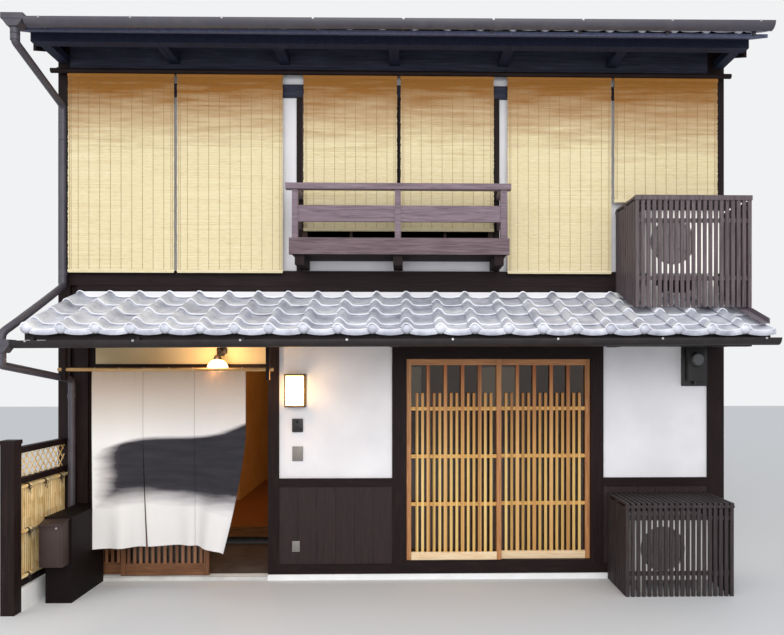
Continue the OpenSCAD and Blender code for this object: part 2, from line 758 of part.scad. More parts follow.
module downpipes() {
    wall_y = -beam_proud - pipe_r * elbow_ratio - seat;
    main_out = main_gutter_z + 30 - hopper_h - 45;
    pent_out_z = pent_gutter_z + 8 - hopper_h - 45;
    rake_z = pent_z(0) + tile_bed + 40;
    color("#4f4547") {
        pipe_run([[hopper_x, main_gutter_y, main_out], [hopper_x, main_gutter_y, main_out - 60],
                  [pipe_x, wall_y, main_out - 300], [pipe_x, wall_y, rake_z],
                  [pipe_x, pent_gutter_y + 60, pent_gutter_z + 115],
                  [hopper_x, pent_gutter_y + 8, pent_gutter_z + 53],
                  [hopper_x, pent_gutter_y, pent_gutter_z - 25]], pipe_r);
        pipe_run([[hopper_x, pent_gutter_y, pent_out_z], [hopper_x, pent_gutter_y, pent_out_z - 48],
                  [low_pipe_x, wall_y, pent_out_z - 170], [low_pipe_x, wall_y, 5]], pipe_r);
    }
}

// Balcony
balcony_x0 = open_x0 - upper_post_w - 5;
balcony_x1 = balcony_x0 + balcony_w;
balcony_z = upper_sill_z - 16;
bracket_w = 80;
plank_t = 35;
module balcony_floor() {
    color("#5e4e52") {
        for (x = [balcony_x0 + 45, upper_mid - bracket_w / 2, balcony_x1 - 45 - bracket_w])
            block([x, -balcony_out + plank_t - 1, beam_top + 4], [x + bracket_w, -12, balcony_z + 1]);
        block([balcony_x0 + 20, -balcony_out + plank_t - 1, balcony_z], [balcony_x1 - 20, -12, balcony_z + 25]);
        block([balcony_x0, -balcony_out, balcony_z], [balcony_x1, -balcony_out + plank_t, balcony_z + plank_h]);
    }
}
balcony_post = 50;
top_rail_h = 49;
module balcony_railing() {
    z1 = balcony_z + rail_top;
    mid_z = balcony_z + mid_board_z;
    y0 = -balcony_out + 4;
    end_x = [balcony_x0 + 25, balcony_x1 - 25 - balcony_post];
    color("#5e4e52") {
        for (x = [end_x[0], upper_mid - balcony_post / 2, end_x[1]])
            block([x, y0, balcony_z + plank_h], [x + balcony_post, y0 + balcony_post, z1 - top_rail_h + 1]);
        block([balcony_x0 - 28, -balcony_out - 12, z1 - top_rail_h], [balcony_x1 + 12, y0 + balcony_post + 4, z1]);
        block([end_x[0], y0 + 10, mid_z], [end_x[1] + balcony_post, y0 + 34, mid_z + mid_board_h]);
        for (x = end_x) {
            block([x + 6, y0 + balcony_post - 1, z1 - top_rail_h + 3], [x + 44, -10, z1 - 3]);
            block([x + 12, y0 + balcony_post - 1, mid_z], [x + 36, -10, mid_z + mid_board_h]);
        }
    }
}

// Reed blinds on one pole
pole_z = rail_top_z + 81;
blind_top = pole_z - blind_pole_r - seat;
long_drop = blind_top - beam_top + 30;
balcony_drop = blind_top - 3128;
short_blind = blind_top - up_cover_z - 52;
module blind_pole() {
    color("#4a4044") {
        translate([left - 30, -blind_out, pole_z]) rotate([0, 90, 0]) cylinder(h = house_w + 60, r = blind_pole_r);
        for (x = [left + 20, -half_bay, half_bay, right - 60])
            block([x, -blind_out, pole_z + 4], [x + 22, 0, pole_z + 30]);
    }
}
function blind_spans() =
    let (a0 = left + post_w + 11, a1 = open_x0 - upper_post_w - 110, c0 = open_x1 + upper_post_w + 62,
         c1 = right - 88, aw = (a1 - a0 - blind_gap) / 2, cw = (c1 - c0 - blind_gap) / 2,
         b0 = open_x0 + 22, b1 = open_x1 - 10, bw = (b1 - b0 - blind_gap - 6) / 2)
    [[a0, aw, long_drop], [a0 + aw + blind_gap, aw, long_drop], [b0, bw, balcony_drop],
     [b1 - bw, bw, balcony_drop], [c0, cw, long_drop], [c0 + cw + blind_gap, cw, short_blind]];
module reed_blinds() {
    color("#e0c888") for (b = blind_spans())
        block([b[0], -blind_out - blind_t / 2, blind_top - b[2]], [b[0] + b[1], -blind_out + blind_t / 2, blind_top]);
}

// Slatted covers over the two outdoor units
up_cover_x = right - cover_inset - up_cover_w;
low_cover_x = right - low_cover_inset - cover_w;
cover_rail_h = 34;
function up_cover_bottom(y) = pent_z(y) + (tile_bed - roll_sink + roll_r) / cos(atan(pent_pitch)) + 2 * seat;
module slats_x(x0, x1, y, z0, z1) {
    count = floor((x1 - x0 - slat_w) / slat_pitch);
    for (i = [0 : count])
        block([x0 + i * (x1 - x0 - slat_w) / count, y, z0], [x0 + i * (x1 - x0 - slat_w) / count + slat_w, y + slat_t, z1]);
}
module cover_front(x, w, d, z0, z1, rails) {
    slats_x(x, x + w, -d, z0, z1);
    for (k = rails)
        block([x + 4, -d + slat_t - 1, z0 + 40 + k * (z1 - z0 - 80 - cover_rail_h)],
              [x + w - 4, -d + slat_t + 20, z0 + 40 + cover_rail_h + k * (z1 - z0 - 80 - cover_rail_h)]);
}
module cover_fronts() {
    color("#4f4446") {
        cover_front(low_cover_x, cover_w, low_cover_d, 0, low_cover_h - 40, [0.21, 0.95]);
        cover_front(up_cover_x, up_cover_w, up_cover_d, up_cover_bottom(slat_t + 20 - up_cover_d),
                    up_cover_z - 40, [0.24, 0.86]);
    }
}
module cover_side(x, d, z1, foot, inward, rail_end) {
    run = d - slat_t - 22 - footing_out;
    count = floor((run - slat_w) / slat_pitch);
    for (i = [0 : count]) {
        y = -d + slat_t + 22 + i * (run - slat_w) / count;
        yz_bar(x, x + slat_t, [[y, foot(y)], [y + slat_w, foot(y + slat_w)], [y + slat_w, z1], [y, z1]]);
    }
    for (z = [foot(0) + 60, z1 - 40 - cover_rail_h])
        block([inward > 0 ? x + slat_t - 1 : x - 20, -d + slat_t + 22, z],
              [inward > 0 ? x + slat_t + 20 : x + 1, rail_end, z + cover_rail_h]);
}
module cover_sides() {
    ground = function (y) 0;
    slope = function (y) up_cover_bottom(y);
    color("#4f4446") {
        cover_side(low_cover_x, low_cover_d, low_cover_h - 40, ground, 1, 0);
        cover_side(low_cover_x + cover_w - slat_t, low_cover_d, low_cover_h - 40, ground, -1, 0);
        cover_side(up_cover_x, up_cover_d, up_cover_z - 40, slope, 1, -beam_proud);
        cover_side(up_cover_x + up_cover_w - slat_t, up_cover_d, up_cover_z - 40, slope, -1, -beam_proud);
    }
}
module cover_top(x, w, d, z, boxed) {
    for (y = [-d - 8, -d * 0.5 - 15, -30 - beam_proud])
        block([x - 4, y, z - 40], [x + w + 4, y + 30, boxed && y < -d ? z : z - 18]);
    count = floor((w - slat_w) / slat_pitch);
    for (i = [0 : count])
        block([x + i * (w - slat_w) / count, -d - 8, z - 19], [x + i * (w - slat_w) / count + slat_w, -beam_proud, z]);
}
module cover_tops() {
    color("#4f4446") {
        cover_top(low_cover_x, cover_w, low_cover_d, low_cover_h, false);
        cover_top(up_cover_x, up_cover_w, up_cover_d, up_cover_z, true);
    }
}
unit_w = 660;
unit_h = 530;
unit_d = 270;
unit_foot = 107;
unit_feet = [60, unit_w - 90];
fan_r = 190;
module ac_unit(x, y, z) {
    translate([x, y, z]) {
        difference() {
            block([0, 0, unit_foot], [unit_w, unit_d, unit_foot + unit_h]);
            translate([unit_w * 0.4, 30, unit_foot + unit_h / 2]) rotate([90, 0, 0]) cylinder(h = 40, r = fan_r);
        }
        for (fx = unit_feet) block([fx, 10, 0], [fx + 50, unit_d - 10, unit_foot + 1]);
    }
}
upper_unit_z = up_cover_bottom(-60) + 10;
upper_unit_x = up_cover_x + 80;
low_unit_x = low_cover_x + 86;
module ac_units() {
    color("whitesmoke") {
        ac_unit(low_unit_x, -low_cover_d + 110, 0);
        ac_unit(upper_unit_x, -up_cover_d + 90, upper_unit_z);
    }
    color("silver") for (fx = unit_feet) {
        x = upper_unit_x + fx;
        yz_bar(x - 30, x + 80, [[-up_cover_d + 80, up_cover_bottom(-up_cover_d + 80)], [-60, up_cover_bottom(-60)],
                                [-60, upper_unit_z], [-up_cover_d + 80, upper_unit_z]]);
    }
}

// Side fence in line with the left corner post
fence_x = left + 50;
rail_d = 56;
module fence_frame() {
    px = fence_x - fence_post_w / 2;
    y0 = -fence_l;
    color("#3a3032") {
        block([px, y0, 0], [px + fence_post_w, y0 + fence_post_w, fence_post_h - 30]);
        block([px - 6, y0 - 6, fence_post_h - 31], [px + fence_post_w + 6, y0 + fence_post_w + 6, fence_post_h]);
        for (z = [kerb_h + seat, 990, fence_top - 50])
            block([fence_x - rail_d / 2, y0 + fence_post_w - 1, z], [fence_x + rail_d / 2, 0, z + 48]);
    }
}
bamboo_r = 15;
module fence_panels() {
    y0 = -fence_l + fence_post_w;
    count = floor(-y0 / (2 * bamboo_r + 1));
    z0 = 1038;
    z1 = fence_top - 50;
    h = z1 - z0;
    step = 85;
    n = floor((-y0 + h) / step);
    color("#d3b170") {
        for (i = [0 : count - 1])
            translate([fence_x, y0 + (i + 0.5) * (-y0 / count), kerb_h + 49]) cylinder(h = 760 - seat, r = bamboo_r, $fn = 12);
        for (z = [985 - 20, 610, 255], s = [-1, 1])
            translate([fence_x + s * (bamboo_r + 14), y0, z]) rotate([-90, 0, 0]) cylinder(h = -y0 - 1, r = 16);
        for (s = [0, 1], i = [0 : n]) intersection() {
            block([fence_x - 10, y0, z0], [fence_x + 10, 0, z1]);
            translate([fence_x + (s ? 0 : -6), y0 + i * step, z0]) rotate([s ? 45 : -45, 0, 0])
                translate([-2, s ? -7 : -7, -h * 2]) cube([8, 14, h * 4]);
        }
    }
}
cabinet_x0 = left + 184;
cabinet_w = 222;
cabinet_h = 700;
cabinet_d = 600;
module side_cabinet() {
    color("#3a2f30") {
        block([cabinet_x0 + 6, -cabinet_d + 6, 0], [cabinet_x0 + cabinet_w - 6, 0 - seat, cabinet_h - 22]);
        block([cabinet_x0, -cabinet_d, cabinet_h - 23], [cabinet_x0 + cabinet_w, 0 - seat, cabinet_h]);
    }
}
box_w = 185;
box_d = 118;
box_h = 372;
module letterbox() {
    x = cabinet_x0 + 14;
    y = -cabinet_d - box_d;
    z = 320;
    color("#3f3234") {
        yz_bar(x, x + box_w, [[y + 8, z], [y + box_d + 6 - seat, z], [y + box_d + 6 - seat, z + box_h - 20],
                              [y + 8, z + box_h - 36]]);
        yz_bar(x - 6, x + box_w + 6, [[y - 6, z + box_h - 46], [y - 6, z + box_h - 32], [y + box_d - seat, z + box_h],
                                      [y + box_d - seat, z + box_h - 24], [y, z + box_h - 38]]);
        block([x + 20, y + 4, z + 20], [x + box_w - 20, y + 9, z + box_h - 60]);
        translate([x + box_w - 42, y - 2, z + box_h - 62]) rotate([-90, 0, 0]) cylinder(h = 12, r = 9);
    }
}

// Entrance curtain, lamps and wall fittings
hanger_w = 30;
module curtain_rail() {
    x0 = left + post_w + 56;
    x1 = wall_x0 - 65;
    y = [-curtain_out - 22, -curtain_out + 22];
    top = pent_z(y[0]) - deck_t - rafter_h - seat;
    color("#3a2c2e") {
        for (x = [x0, x1]) block([x, y[0], curtain_z - 90], [x + hanger_w, y[1], top]);
        block([x0, y[0], top - 30], [x1 + hanger_w, y[1], top]);
    }
    color("#c09a68") translate([x0 - 40, -curtain_out, curtain_z]) rotate([0, 90, 0])
        cylinder(h = x1 - x0 + hanger_w + 70, r = curtain_pole_r);
}
curtain_t = 6;
curtain_x = entry_x0 + 82;
module curtain() {
    z1 = curtain_z - curtain_pole_r - seat;
    w = curtain_w;
    panel = w / 3;
    color("white") translate([curtain_x, -curtain_out + curtain_t / 2, z1]) rotate([90, 0, 0]) linear_extrude(curtain_t)
        polygon([[0, 0], [w, 0], [w - 170, -curtain_drop], [2 * panel + 4, -curtain_drop + 30],
                 [2 * panel + 2, -580], [2 * panel - 2, -580], [2 * panel - 10, -curtain_drop + 30],
                 [panel + 6, -curtain_drop + 16], [panel + 2, -580], [panel - 2, -580],
                 [panel - 12, -curtain_drop + 10], [0, -curtain_drop]]);
}
globe_x = entry_x1 - 415;
globe_y = -130;
globe_z = 1900;
lantern_w = 184;
lantern_h = 296;
lantern_x = wall_x0 + 60;
lantern_z = 1559;
lantern_d = 100;
module lamp_metalwork() {
    y = plaster_back;
    color("#2e2628") {
        translate([globe_x, y - 16, globe_z + 165]) rotate([-90, 0, 0]) cylinder(h = 16, r = 48);
        rod([globe_x, y - 2, globe_z + 165], [globe_x, globe_y - 11, globe_z + 165], 11);
        rod([globe_x, globe_y, globe_z + 160], [globe_x, globe_y, globe_z + 90], 9);
        translate([globe_x, globe_y, globe_z + globe_r - 12]) cylinder(h = 48, r = 42);
    }
    color("#b08a4a") translate([lantern_x, y - lantern_d, lantern_z]) {
        for (z = [0, lantern_h - 16]) block([0, 0, z], [lantern_w, lantern_d, z + 16]);
        for (x = [0, lantern_w - 12], yy = [0, lantern_d - 12]) block([x, yy, 0], [x + 12, yy + 12, lantern_h]);
        block([0, lantern_d - 6, 0], [lantern_w, lantern_d, lantern_h]);
    }
}
module lamp_glasses() {
    y = plaster_back;
    color("#fff3d6") {
        difference() {
            translate([globe_x, globe_y, globe_z]) sphere(r = globe_r);
            translate([globe_x, globe_y, globe_z + globe_r - 12 - seat]) cylinder(h = 60, r = 43);
        }
        block([lantern_x + 12 + seat, y - lantern_d + 6, lantern_z + 16 + seat],
              [lantern_x + lantern_w - 12 - seat, y - 12, lantern_z + lantern_h - 16 - seat]);
    }
}
fitting_x = wall_x0 + 118;
module wall_fittings() {
    y = plaster_back;
    color("#2b2829") {
        block([fitting_x, y - 24, intercom_z], [fitting_x + intercom_w, y, intercom_z + intercom_h]);
        block([panel_x1 - meter_w, y - 22, meter_z], [panel_x1, y, meter_z + meter_h]);
        block([panel_x1 - meter_w + 30, y - 92, meter_z + 45], [panel_x1 - 46, y - 21, meter_z + meter_h - 30]);
        translate([panel_x1 - meter_w / 2 - 8, y - 91, meter_z + meter_h - 140]) rotate([90, 0, 0])
            cylinder(h = 42, r = 70);
    }
    color("silver") {
        block([fitting_x, y - 10, plate_low_z], [fitting_x + intercom_w, y, plate_low_z + intercom_h + 12]);
        block([fitting_x, 8 - 12, socket_z], [fitting_x + intercom_w - 26, 8, socket_z + intercom_h - 23]);
    }
}

footings();
doma_floor();
timber_floors();
inner_wall();
party_walls();
rear_wall();
window_glass();
front_posts();
front_beams();
plaster_walls();
wainscots();
entry_head();
entry_threshold();
entry_door_left();
entry_door_right();
door_pane_left();
door_pane_right();
lattice_left();
lattice_right();
upper_sashes();
eave_frames();
pent_roof_deck();
pent_roof_tiles();
roof_deck();
roof_tiles();
ridge_tiles();
barge_boards();
gutters();
rain_hoppers();
downpipes();
balcony_floor();
balcony_railing();
blind_pole();
reed_blinds();
cover_fronts();
cover_sides();
cover_tops();
ac_units();
fence_frame();
fence_panels();
letterbox();
side_cabinet();
curtain_rail();
curtain();
lamp_metalwork();
lamp_glasses();
wall_fittings();
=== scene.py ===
import bpy, math, random
from mathutils import Vector, Matrix


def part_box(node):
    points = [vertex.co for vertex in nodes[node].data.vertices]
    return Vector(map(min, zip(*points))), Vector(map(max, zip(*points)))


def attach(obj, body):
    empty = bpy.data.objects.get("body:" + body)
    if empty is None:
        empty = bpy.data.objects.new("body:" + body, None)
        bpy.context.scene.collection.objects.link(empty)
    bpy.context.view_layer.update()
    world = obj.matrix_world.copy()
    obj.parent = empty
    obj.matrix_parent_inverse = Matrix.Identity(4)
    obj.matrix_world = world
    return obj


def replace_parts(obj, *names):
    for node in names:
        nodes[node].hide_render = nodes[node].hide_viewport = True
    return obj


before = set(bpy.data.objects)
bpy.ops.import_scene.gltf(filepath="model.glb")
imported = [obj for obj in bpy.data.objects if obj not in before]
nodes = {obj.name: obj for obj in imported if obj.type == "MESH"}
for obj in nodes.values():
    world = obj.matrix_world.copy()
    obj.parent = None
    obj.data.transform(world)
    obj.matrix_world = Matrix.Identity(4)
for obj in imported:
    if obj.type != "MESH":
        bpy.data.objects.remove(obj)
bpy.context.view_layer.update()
body = "house"
print("frame loaded")

mm = 1000  # noise scale of a pattern one millimetre wide, since coordinates are in metres


def linear(code):
    rgb = [int(code[i:i + 2], 16) / 255 for i in (1, 3, 5)]
    return [c / 12.92 if c <= 0.04045 else ((c + 0.055) / 1.055) ** 2.4 for c in rgb] + [1.0]


def feed(node, sockets):
    # each socket takes a value, or the output of another node
    for key, given in sockets.items():
        if isinstance(given, tuple) and isinstance(given[0], bpy.types.Node):
            node.id_data.links.new(given[0].outputs[given[1]], node.inputs[key])
        else:
            node.inputs[key].default_value = given


def addNode(tree, kind, settings=None, links=None):
    node = tree.nodes.new("ShaderNode" + kind)
    for key, value in (settings or {}).items():
        if isinstance(key, int) or key in node.inputs:
            node.inputs[key].default_value = value
        elif key == "ramp":
            ramp = node.color_ramp
            while len(ramp.elements) < len(value):
                ramp.elements.new(0.5)
            for element, (at, code) in zip(ramp.elements, value):
                element.position = at
            for element, (at, code) in zip(ramp.elements, value):
                element.color = linear(code)
        else:
            setattr(node, key, value)
    feed(node, links or {})
    return node


def newMaterial(name):
    material = bpy.data.materials.new(name)
    material.use_nodes = True
    tree = material.node_tree
    tree.nodes.clear()
    surface = addNode(tree, "BsdfPrincipled")
    addNode(tree, "OutputMaterial", links={"Surface": (surface, "BSDF")})
    return material, tree, surface, (addNode(tree, "TexCoord"), "Object")


def deselectAll():
    if bpy.context.mode != "OBJECT":
        bpy.ops.object.mode_set(mode="OBJECT")
    bpy.ops.object.select_all(action="DESELECT")


def pick(piece):
    deselectAll()
    piece.select_set(True)
    bpy.context.view_layer.objects.active = piece


def settle(name=None):
    # the new primitive's place, turn and scale go into its mesh
    piece = bpy.context.object
    if name:
        piece.name = name
    bpy.ops.object.transform_apply(location=True, rotation=True, scale=True)
    return piece


def boxAt(name, low, high):
    # a cube primitive stretched between two corners
    deselectAll()
    middle = [(a + b) / 2 for a, b in zip(low, high)]
    bpy.ops.mesh.primitive_cube_add(size=1, location=middle, scale=[b - a for a, b in zip(low, high)])
    return settle(name)


def tubeAt(name, start, end, radius, sides=20):
    deselectAll()
    start, end = Vector(start), Vector(end)
    bpy.ops.mesh.primitive_cylinder_add(vertices=sides, radius=radius, depth=(end - start).length,
                                        location=(start + end) / 2,
                                        rotation=(end - start).to_track_quat("Z", "Y").to_euler())
    return settle(name)


def ringAt(place, turn, major, minor, around, across, stretch=(1, 1, 1)):
    deselectAll()
    bpy.ops.mesh.primitive_torus_add(major_radius=major, minor_radius=minor, major_segments=around,
                                     minor_segments=across, location=place, rotation=turn)
    bpy.context.object.scale = stretch
    return settle()


def gridOf(across, along):
    # a flat grid, one metre wide, to be shaped point by point
    deselectAll()
    bpy.ops.mesh.primitive_grid_add(x_subdivisions=across, y_subdivisions=along, size=1)
    return bpy.context.object


def applyModifier(piece, kind, **settings):
    pick(piece)
    modifier = piece.modifiers.new(kind.title(), kind)
    for key, value in settings.items():
        setattr(modifier, key, value)
    bpy.ops.object.modifier_apply(modifier=modifier.name)


def bevelEdges(piece, width, segments=2):
    applyModifier(piece, "BEVEL", width=width, segments=segments, limit_method="ANGLE")
    return piece


def softenEdges(piece, width, segments=2):
    applyModifier(piece, "BEVEL", width=width, segments=segments, limit_method="ANGLE", angle_limit=math.radians(40))
    bpy.ops.object.shade_smooth_by_angle(angle=math.radians(35))
    return piece


def copyTo(piece, name, shift=(0, 0, 0), matrix=None):
    # a copy with its own mesh, moved in its mesh
    twin = piece.copy()
    twin.data = piece.data.copy()
    twin.name = name
    bpy.context.collection.objects.link(twin)
    twin.data.transform(matrix if matrix is not None else Matrix.Translation(shift))
    return twin


def joinAll(pieces, name):
    deselectAll()
    for piece in pieces:
        piece.select_set(True)
    bpy.context.view_layer.objects.active = pieces[0]
    if len(pieces) > 1:
        bpy.ops.object.join()
    joined = bpy.context.object
    joined.name = name
    return joined


def dress(piece, material, bodyName=body, smooth=None):
    pick(piece)
    piece.data.materials.clear()
    piece.data.materials.append(material)
    if smooth:
        bpy.ops.object.shade_smooth_by_angle(angle=math.radians(smooth))
    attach(piece, bodyName)
    return piece


def paintFaces(name, material, test):
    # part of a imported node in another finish
    piece = nodes[name]
    piece.data.materials.append(material)
    for face in piece.data.polygons:
        if test(face.center):
            face.material_index = len(piece.data.materials) - 1


def paintNode(name, material):
    slots = nodes[name].data.materials
    if not slots:
        slots.append(material)
    for i in range(len(slots)):
        slots[i] = material


cameraSet = {"place": (0.096, -6.290, 1.891), "turn": -1.2, "lens": 31.92, "sensor": 36, "far": 100,
             "shift": (-0.0352, 0.067)}


def makeCamera():
    data = bpy.data.cameras.new("streetCamera")
    data.lens, data.sensor_width, data.clip_end = cameraSet["lens"], cameraSet["sensor"], cameraSet["far"]
    data.shift_x, data.shift_y = cameraSet["shift"]
    camera = bpy.data.objects.new("streetCamera", data)
    camera.location = cameraSet["place"]
    camera.rotation_euler = (math.radians(90), 0, math.radians(cameraSet["turn"]))
    bpy.context.collection.objects.link(camera)
    bpy.context.scene.camera = camera


# each softbox: place, what it points at, size and power
# each fill: place, turn in degrees, size, power and colour; each glow: place, power, radius and colour
stageSet = {
    "floor": "#D9DADB", "sky": "#F4F6FA", "skyPower": 0.85, "backdrop": "#F1F2F3",
    "softboxes": {"frontSoftbox": ((0.5, -9, 5.5), (0, 0, 2.2), 7, 480),
                  "leftSoftbox": ((-8, -8, 5), (0, 0, 2), 5, 120)},
    # between the slats and the outdoor units, and the entrance lamps' bounce on the fence
    "fills": {"lowCoverFill": ((2.39, -0.500, 0.40), (90, 0, 0), 0.6, 0.5, "#FFFFFF"),
              "upCoverFill": ((2.50, -0.520, 2.92), (90, 0, 0), 0.6, 1.5, "#FFFFFF"),
              "fenceFill": ((-2.1, -1.25, 1.0), (0, 90, -20), 0.7, 3.0, "#FFF0D8")},
    "glows": {"globeGlow": ((-1.554, -0.235, 1.99), 9, 0.05, "#FFD09A"),
              "globeUnderGlow": ((-1.554, -0.205, 1.86), 4.5, 0.04, "#FFDCA4"),
              "lanternGlow": ((-0.888, -0.125, 1.70), 4.2, 0.07, "#FFC47C"),
              "hallGlow": ((-1.7, 2.0, 2.3), 19, 0.12, "#FFC27A"),
              "roomGlow": ((1.0, 2.2, 2.2), 24, 0.15, "#FFB866")}}


def addLamp(name, kind, place, power, size, colour="#FFFFFF", turn=(0, 0, 0)):
    data = bpy.data.lights.new(name, kind)
    data.energy, data.color = power, linear(colour)[:3]
    if kind == "AREA":
        data.size = size
    else:
        data.shadow_soft_size = size
    lamp = bpy.data.objects.new(name, data)
    lamp.location, lamp.rotation_euler = place, turn
    bpy.context.collection.objects.link(lamp)


def makeStage():
    floor = boxAt("stageFloor", (-30, -30, -0.1), (30, 30, 0.0))
    material, tree, surface, spot = newMaterial("paleStudioFloor")
    feed(surface, {"Base Color": linear(stageSet["floor"]), "Roughness": 0.8})
    floor.data.materials.append(material)
    world = bpy.data.worlds.new("studioSky")
    bpy.context.scene.world = world
    world.use_nodes = True
    tree = world.node_tree
    tree.nodes.clear()
    ray = addNode(tree, "LightPath")
    lit = addNode(tree, "Background", {"Color": linear(stageSet["sky"]), "Strength": stageSet["skyPower"]})
    seen = addNode(tree, "Background", {"Color": linear(stageSet["backdrop"]), "Strength": 1.0})
    mix = addNode(tree, "MixShader", links={0: (ray, "Is Camera Ray"), 1: (lit, 0), 2: (seen, 0)})
    addNode(tree, "OutputWorld", links={"Surface": (mix, 0)})
    for name, (place, aim, size, power) in stageSet["softboxes"].items():
        turn = (Vector(aim) - Vector(place)).to_track_quat("-Z", "Y").to_euler()
        addLamp(name, "AREA", place, power, size, turn=turn)
    for name, (place, turn, size, power, colour) in stageSet["fills"].items():
        addLamp(name, "AREA", place, power, size, colour, [math.radians(a) for a in turn])
    for name, (place, power, radius, colour) in stageSet["glows"].items():
        addLamp(name, "POINT", place, power, radius, colour)


def stainedTimber(name, colours, along="Z", ring=14, rough=0.62, bump=0.25, shine=0.25):
    # sawn softwood under stain: long grain streaks, fine fibre bump, no clear shine
    material, tree, surface, spot = newMaterial(name)
    stretch = {"X": (0.06, 1, 1), "Y": (1, 0.06, 1), "Z": (1, 1, 0.06)}[along]
    turned = addNode(tree, "Mapping", {"Scale": stretch}, {"Vector": spot})
    grain = addNode(tree, "TexNoise", {"Scale": mm / ring, "Detail": 5.0, "Roughness": 0.6, "Distortion": 0.4},
                    {"Vector": (turned, 0)})
    fibre = addNode(tree, "TexNoise", {"Scale": mm / 4, "Detail": 2.0}, {"Vector": (turned, 0)})
    colour = addNode(tree, "ValToRGB", {"ramp": [(0.30, colours[0]), (0.52, colours[1]), (0.74, colours[2])]},
                     {"Fac": (grain, "Fac")})
    worn = addNode(tree, "MapRange", {"To Min": rough - 0.08, "To Max": rough + 0.1}, {"Value": (grain, "Fac")})
    lift = addNode(tree, "Bump", {"Strength": bump, "Distance": 0.002}, {"Height": (fibre, "Fac")})
    feed(surface, {"Base Color": (colour, 0), "Roughness": (worn, 0), "Normal": (lift, 0),
                   "Specular IOR Level": shine})
    return material


def barTimber(name, colours, pitch, offset, low, high, tint):
    # clear-oiled cypress bars: each bar its own tone, darker and redder where the eave shades it
    material, tree, surface, spot = newMaterial(name)
    turned = addNode(tree, "Mapping", {"Scale": (1, 1, 0.05)}, {"Vector": spot})
    grain = addNode(tree, "TexNoise", {"Scale": mm / 9, "Detail": 4.0, "Roughness": 0.55}, {"Vector": (turned, 0)})
    split = addNode(tree, "SeparateXYZ", links={"Vector": spot})
    shifted = addNode(tree, "Math", {"operation": "SUBTRACT", 1: offset}, {0: (split, "X")})
    steps = addNode(tree, "Math", {"operation": "DIVIDE", 1: pitch}, {0: (shifted, 0)})
    whole = addNode(tree, "Math", {"operation": "FLOOR"}, {0: (steps, 0)})
    chance = addNode(tree, "TexWhiteNoise", {"noise_dimensions": "1D"}, {"W": (whole, 0)})
    tone = addNode(tree, "Math", {"operation": "MULTIPLY", 1: 0.55}, {0: (chance, "Value")})
    both = addNode(tree, "Math", {"operation": "MULTIPLY_ADD", 1: 0.45}, {0: (grain, "Fac"), 2: (tone, 0)})
    colour = addNode(tree, "ValToRGB", {"ramp": [(0.1, colours[0]), (0.45, colours[1]), (0.8, colours[2])]},
                     {"Fac": (both, 0)})
    # painted shade: the bars grow darker and redder towards the eave, between the heights low and high
    shade = addNode(tree, "MapRange", {"From Min": low, "From Max": high}, {"Value": (split, "Z")})
    eaveShaded = addNode(tree, "Mix", {"data_type": "RGBA", "blend_type": "MULTIPLY", 7: linear(tint)},
                   {"Factor": (shade, 0), 6: (colour, 0)})
    lift = addNode(tree, "Bump", {"Strength": 0.2, "Distance": 0.0015}, {"Height": (grain, "Fac")})
    feed(surface, {"Base Color": (eaveShaded, 2), "Roughness": 0.5, "Normal": (lift, 0)})
    return material


def limePlaster(name, *colours):
    # trowelled lime plaster: near white, matt, faint clouds and a fine sandy bump
    material, tree, surface, spot = newMaterial(name)
    cloud = addNode(tree, "TexNoise", {"Scale": 2.2, "Detail": 5.0}, {"Vector": spot})
    colour = addNode(tree, "ValToRGB", {"ramp": [(0.35, colours[0]), (0.65, colours[1])]}, {"Fac": (cloud, "Fac")})
    sand = addNode(tree, "TexNoise", {"Scale": mm / 6, "Detail": 3.0}, {"Vector": spot})
    lift = addNode(tree, "Bump", {"Strength": 0.12, "Distance": 0.002}, {"Height": (sand, "Fac")})
    feed(surface, {"Base Color": (colour, 0), "Roughness": 0.85, "Normal": (lift, 0)})
    return material


def smokedClay():
    # smoke-fired clay roof tile: silver grey skin with a dull metallic sheen, with painted highlight and painted
    # shade from the tileTone attribute
    material, tree, surface, spot = newMaterial("smokedClayTile")
    cloud = addNode(tree, "TexNoise", {"Scale": 7.0, "Detail": 5.0, "Roughness": 0.6}, {"Vector": spot})
    each = addNode(tree, "Attribute", {"attribute_name": "tileTone", "attribute_type": "GEOMETRY"})
    both = addNode(tree, "Math", {"operation": "MULTIPLY_ADD", 1: 0.6}, {0: (each, "Fac"), 2: (cloud, "Fac")})
    colour = addNode(tree, "ValToRGB", {"ramp": [(0.06, "#3E3F4A"), (0.27, "#A6A8B5"), (0.55, "#D1D3DE"),
                                                 (0.86, "#FEFEFF")]}, {"Fac": (both, 0)})
    rough = addNode(tree, "MapRange", {"To Min": 0.30, "To Max": 0.50}, {"Value": (cloud, "Fac")})
    grit = addNode(tree, "TexNoise", {"Scale": mm / 8, "Detail": 2.0}, {"Vector": spot})
    lift = addNode(tree, "Bump", {"Strength": 0.1, "Distance": 0.0015}, {"Height": (grit, "Fac")})
    feed(surface, {"Base Color": (colour, 0), "Metallic": 0.1, "Roughness": (rough, 0), "Normal": (lift, 0)})
    return material


def paintedMetal(name, code, rough=0.4, dust="#8A8684", dustMost=0.12, shine=0.5):
    # enamelled sheet steel: even colour, soft shine, a little street dust
    material, tree, surface, spot = newMaterial(name)
    cloud = addNode(tree, "TexNoise", {"Scale": 9.0, "Detail": 6.0}, {"Vector": spot})
    amount = addNode(tree, "MapRange", {"From Min": 0.45, "From Max": 0.8, "To Max": dustMost},
                     {"Value": (cloud, "Fac")})
    mixed = addNode(tree, "Mix", {"data_type": "RGBA", 6: linear(code), 7: linear(dust)}, {"Factor": (amount, 0)})
    worn = addNode(tree, "MapRange", {"To Min": rough - 0.06, "To Max": rough + 0.12}, {"Value": (cloud, "Fac")})
    feed(surface, {"Base Color": (mixed, 2), "Roughness": (worn, 0), "Specular IOR Level": shine})
    return material


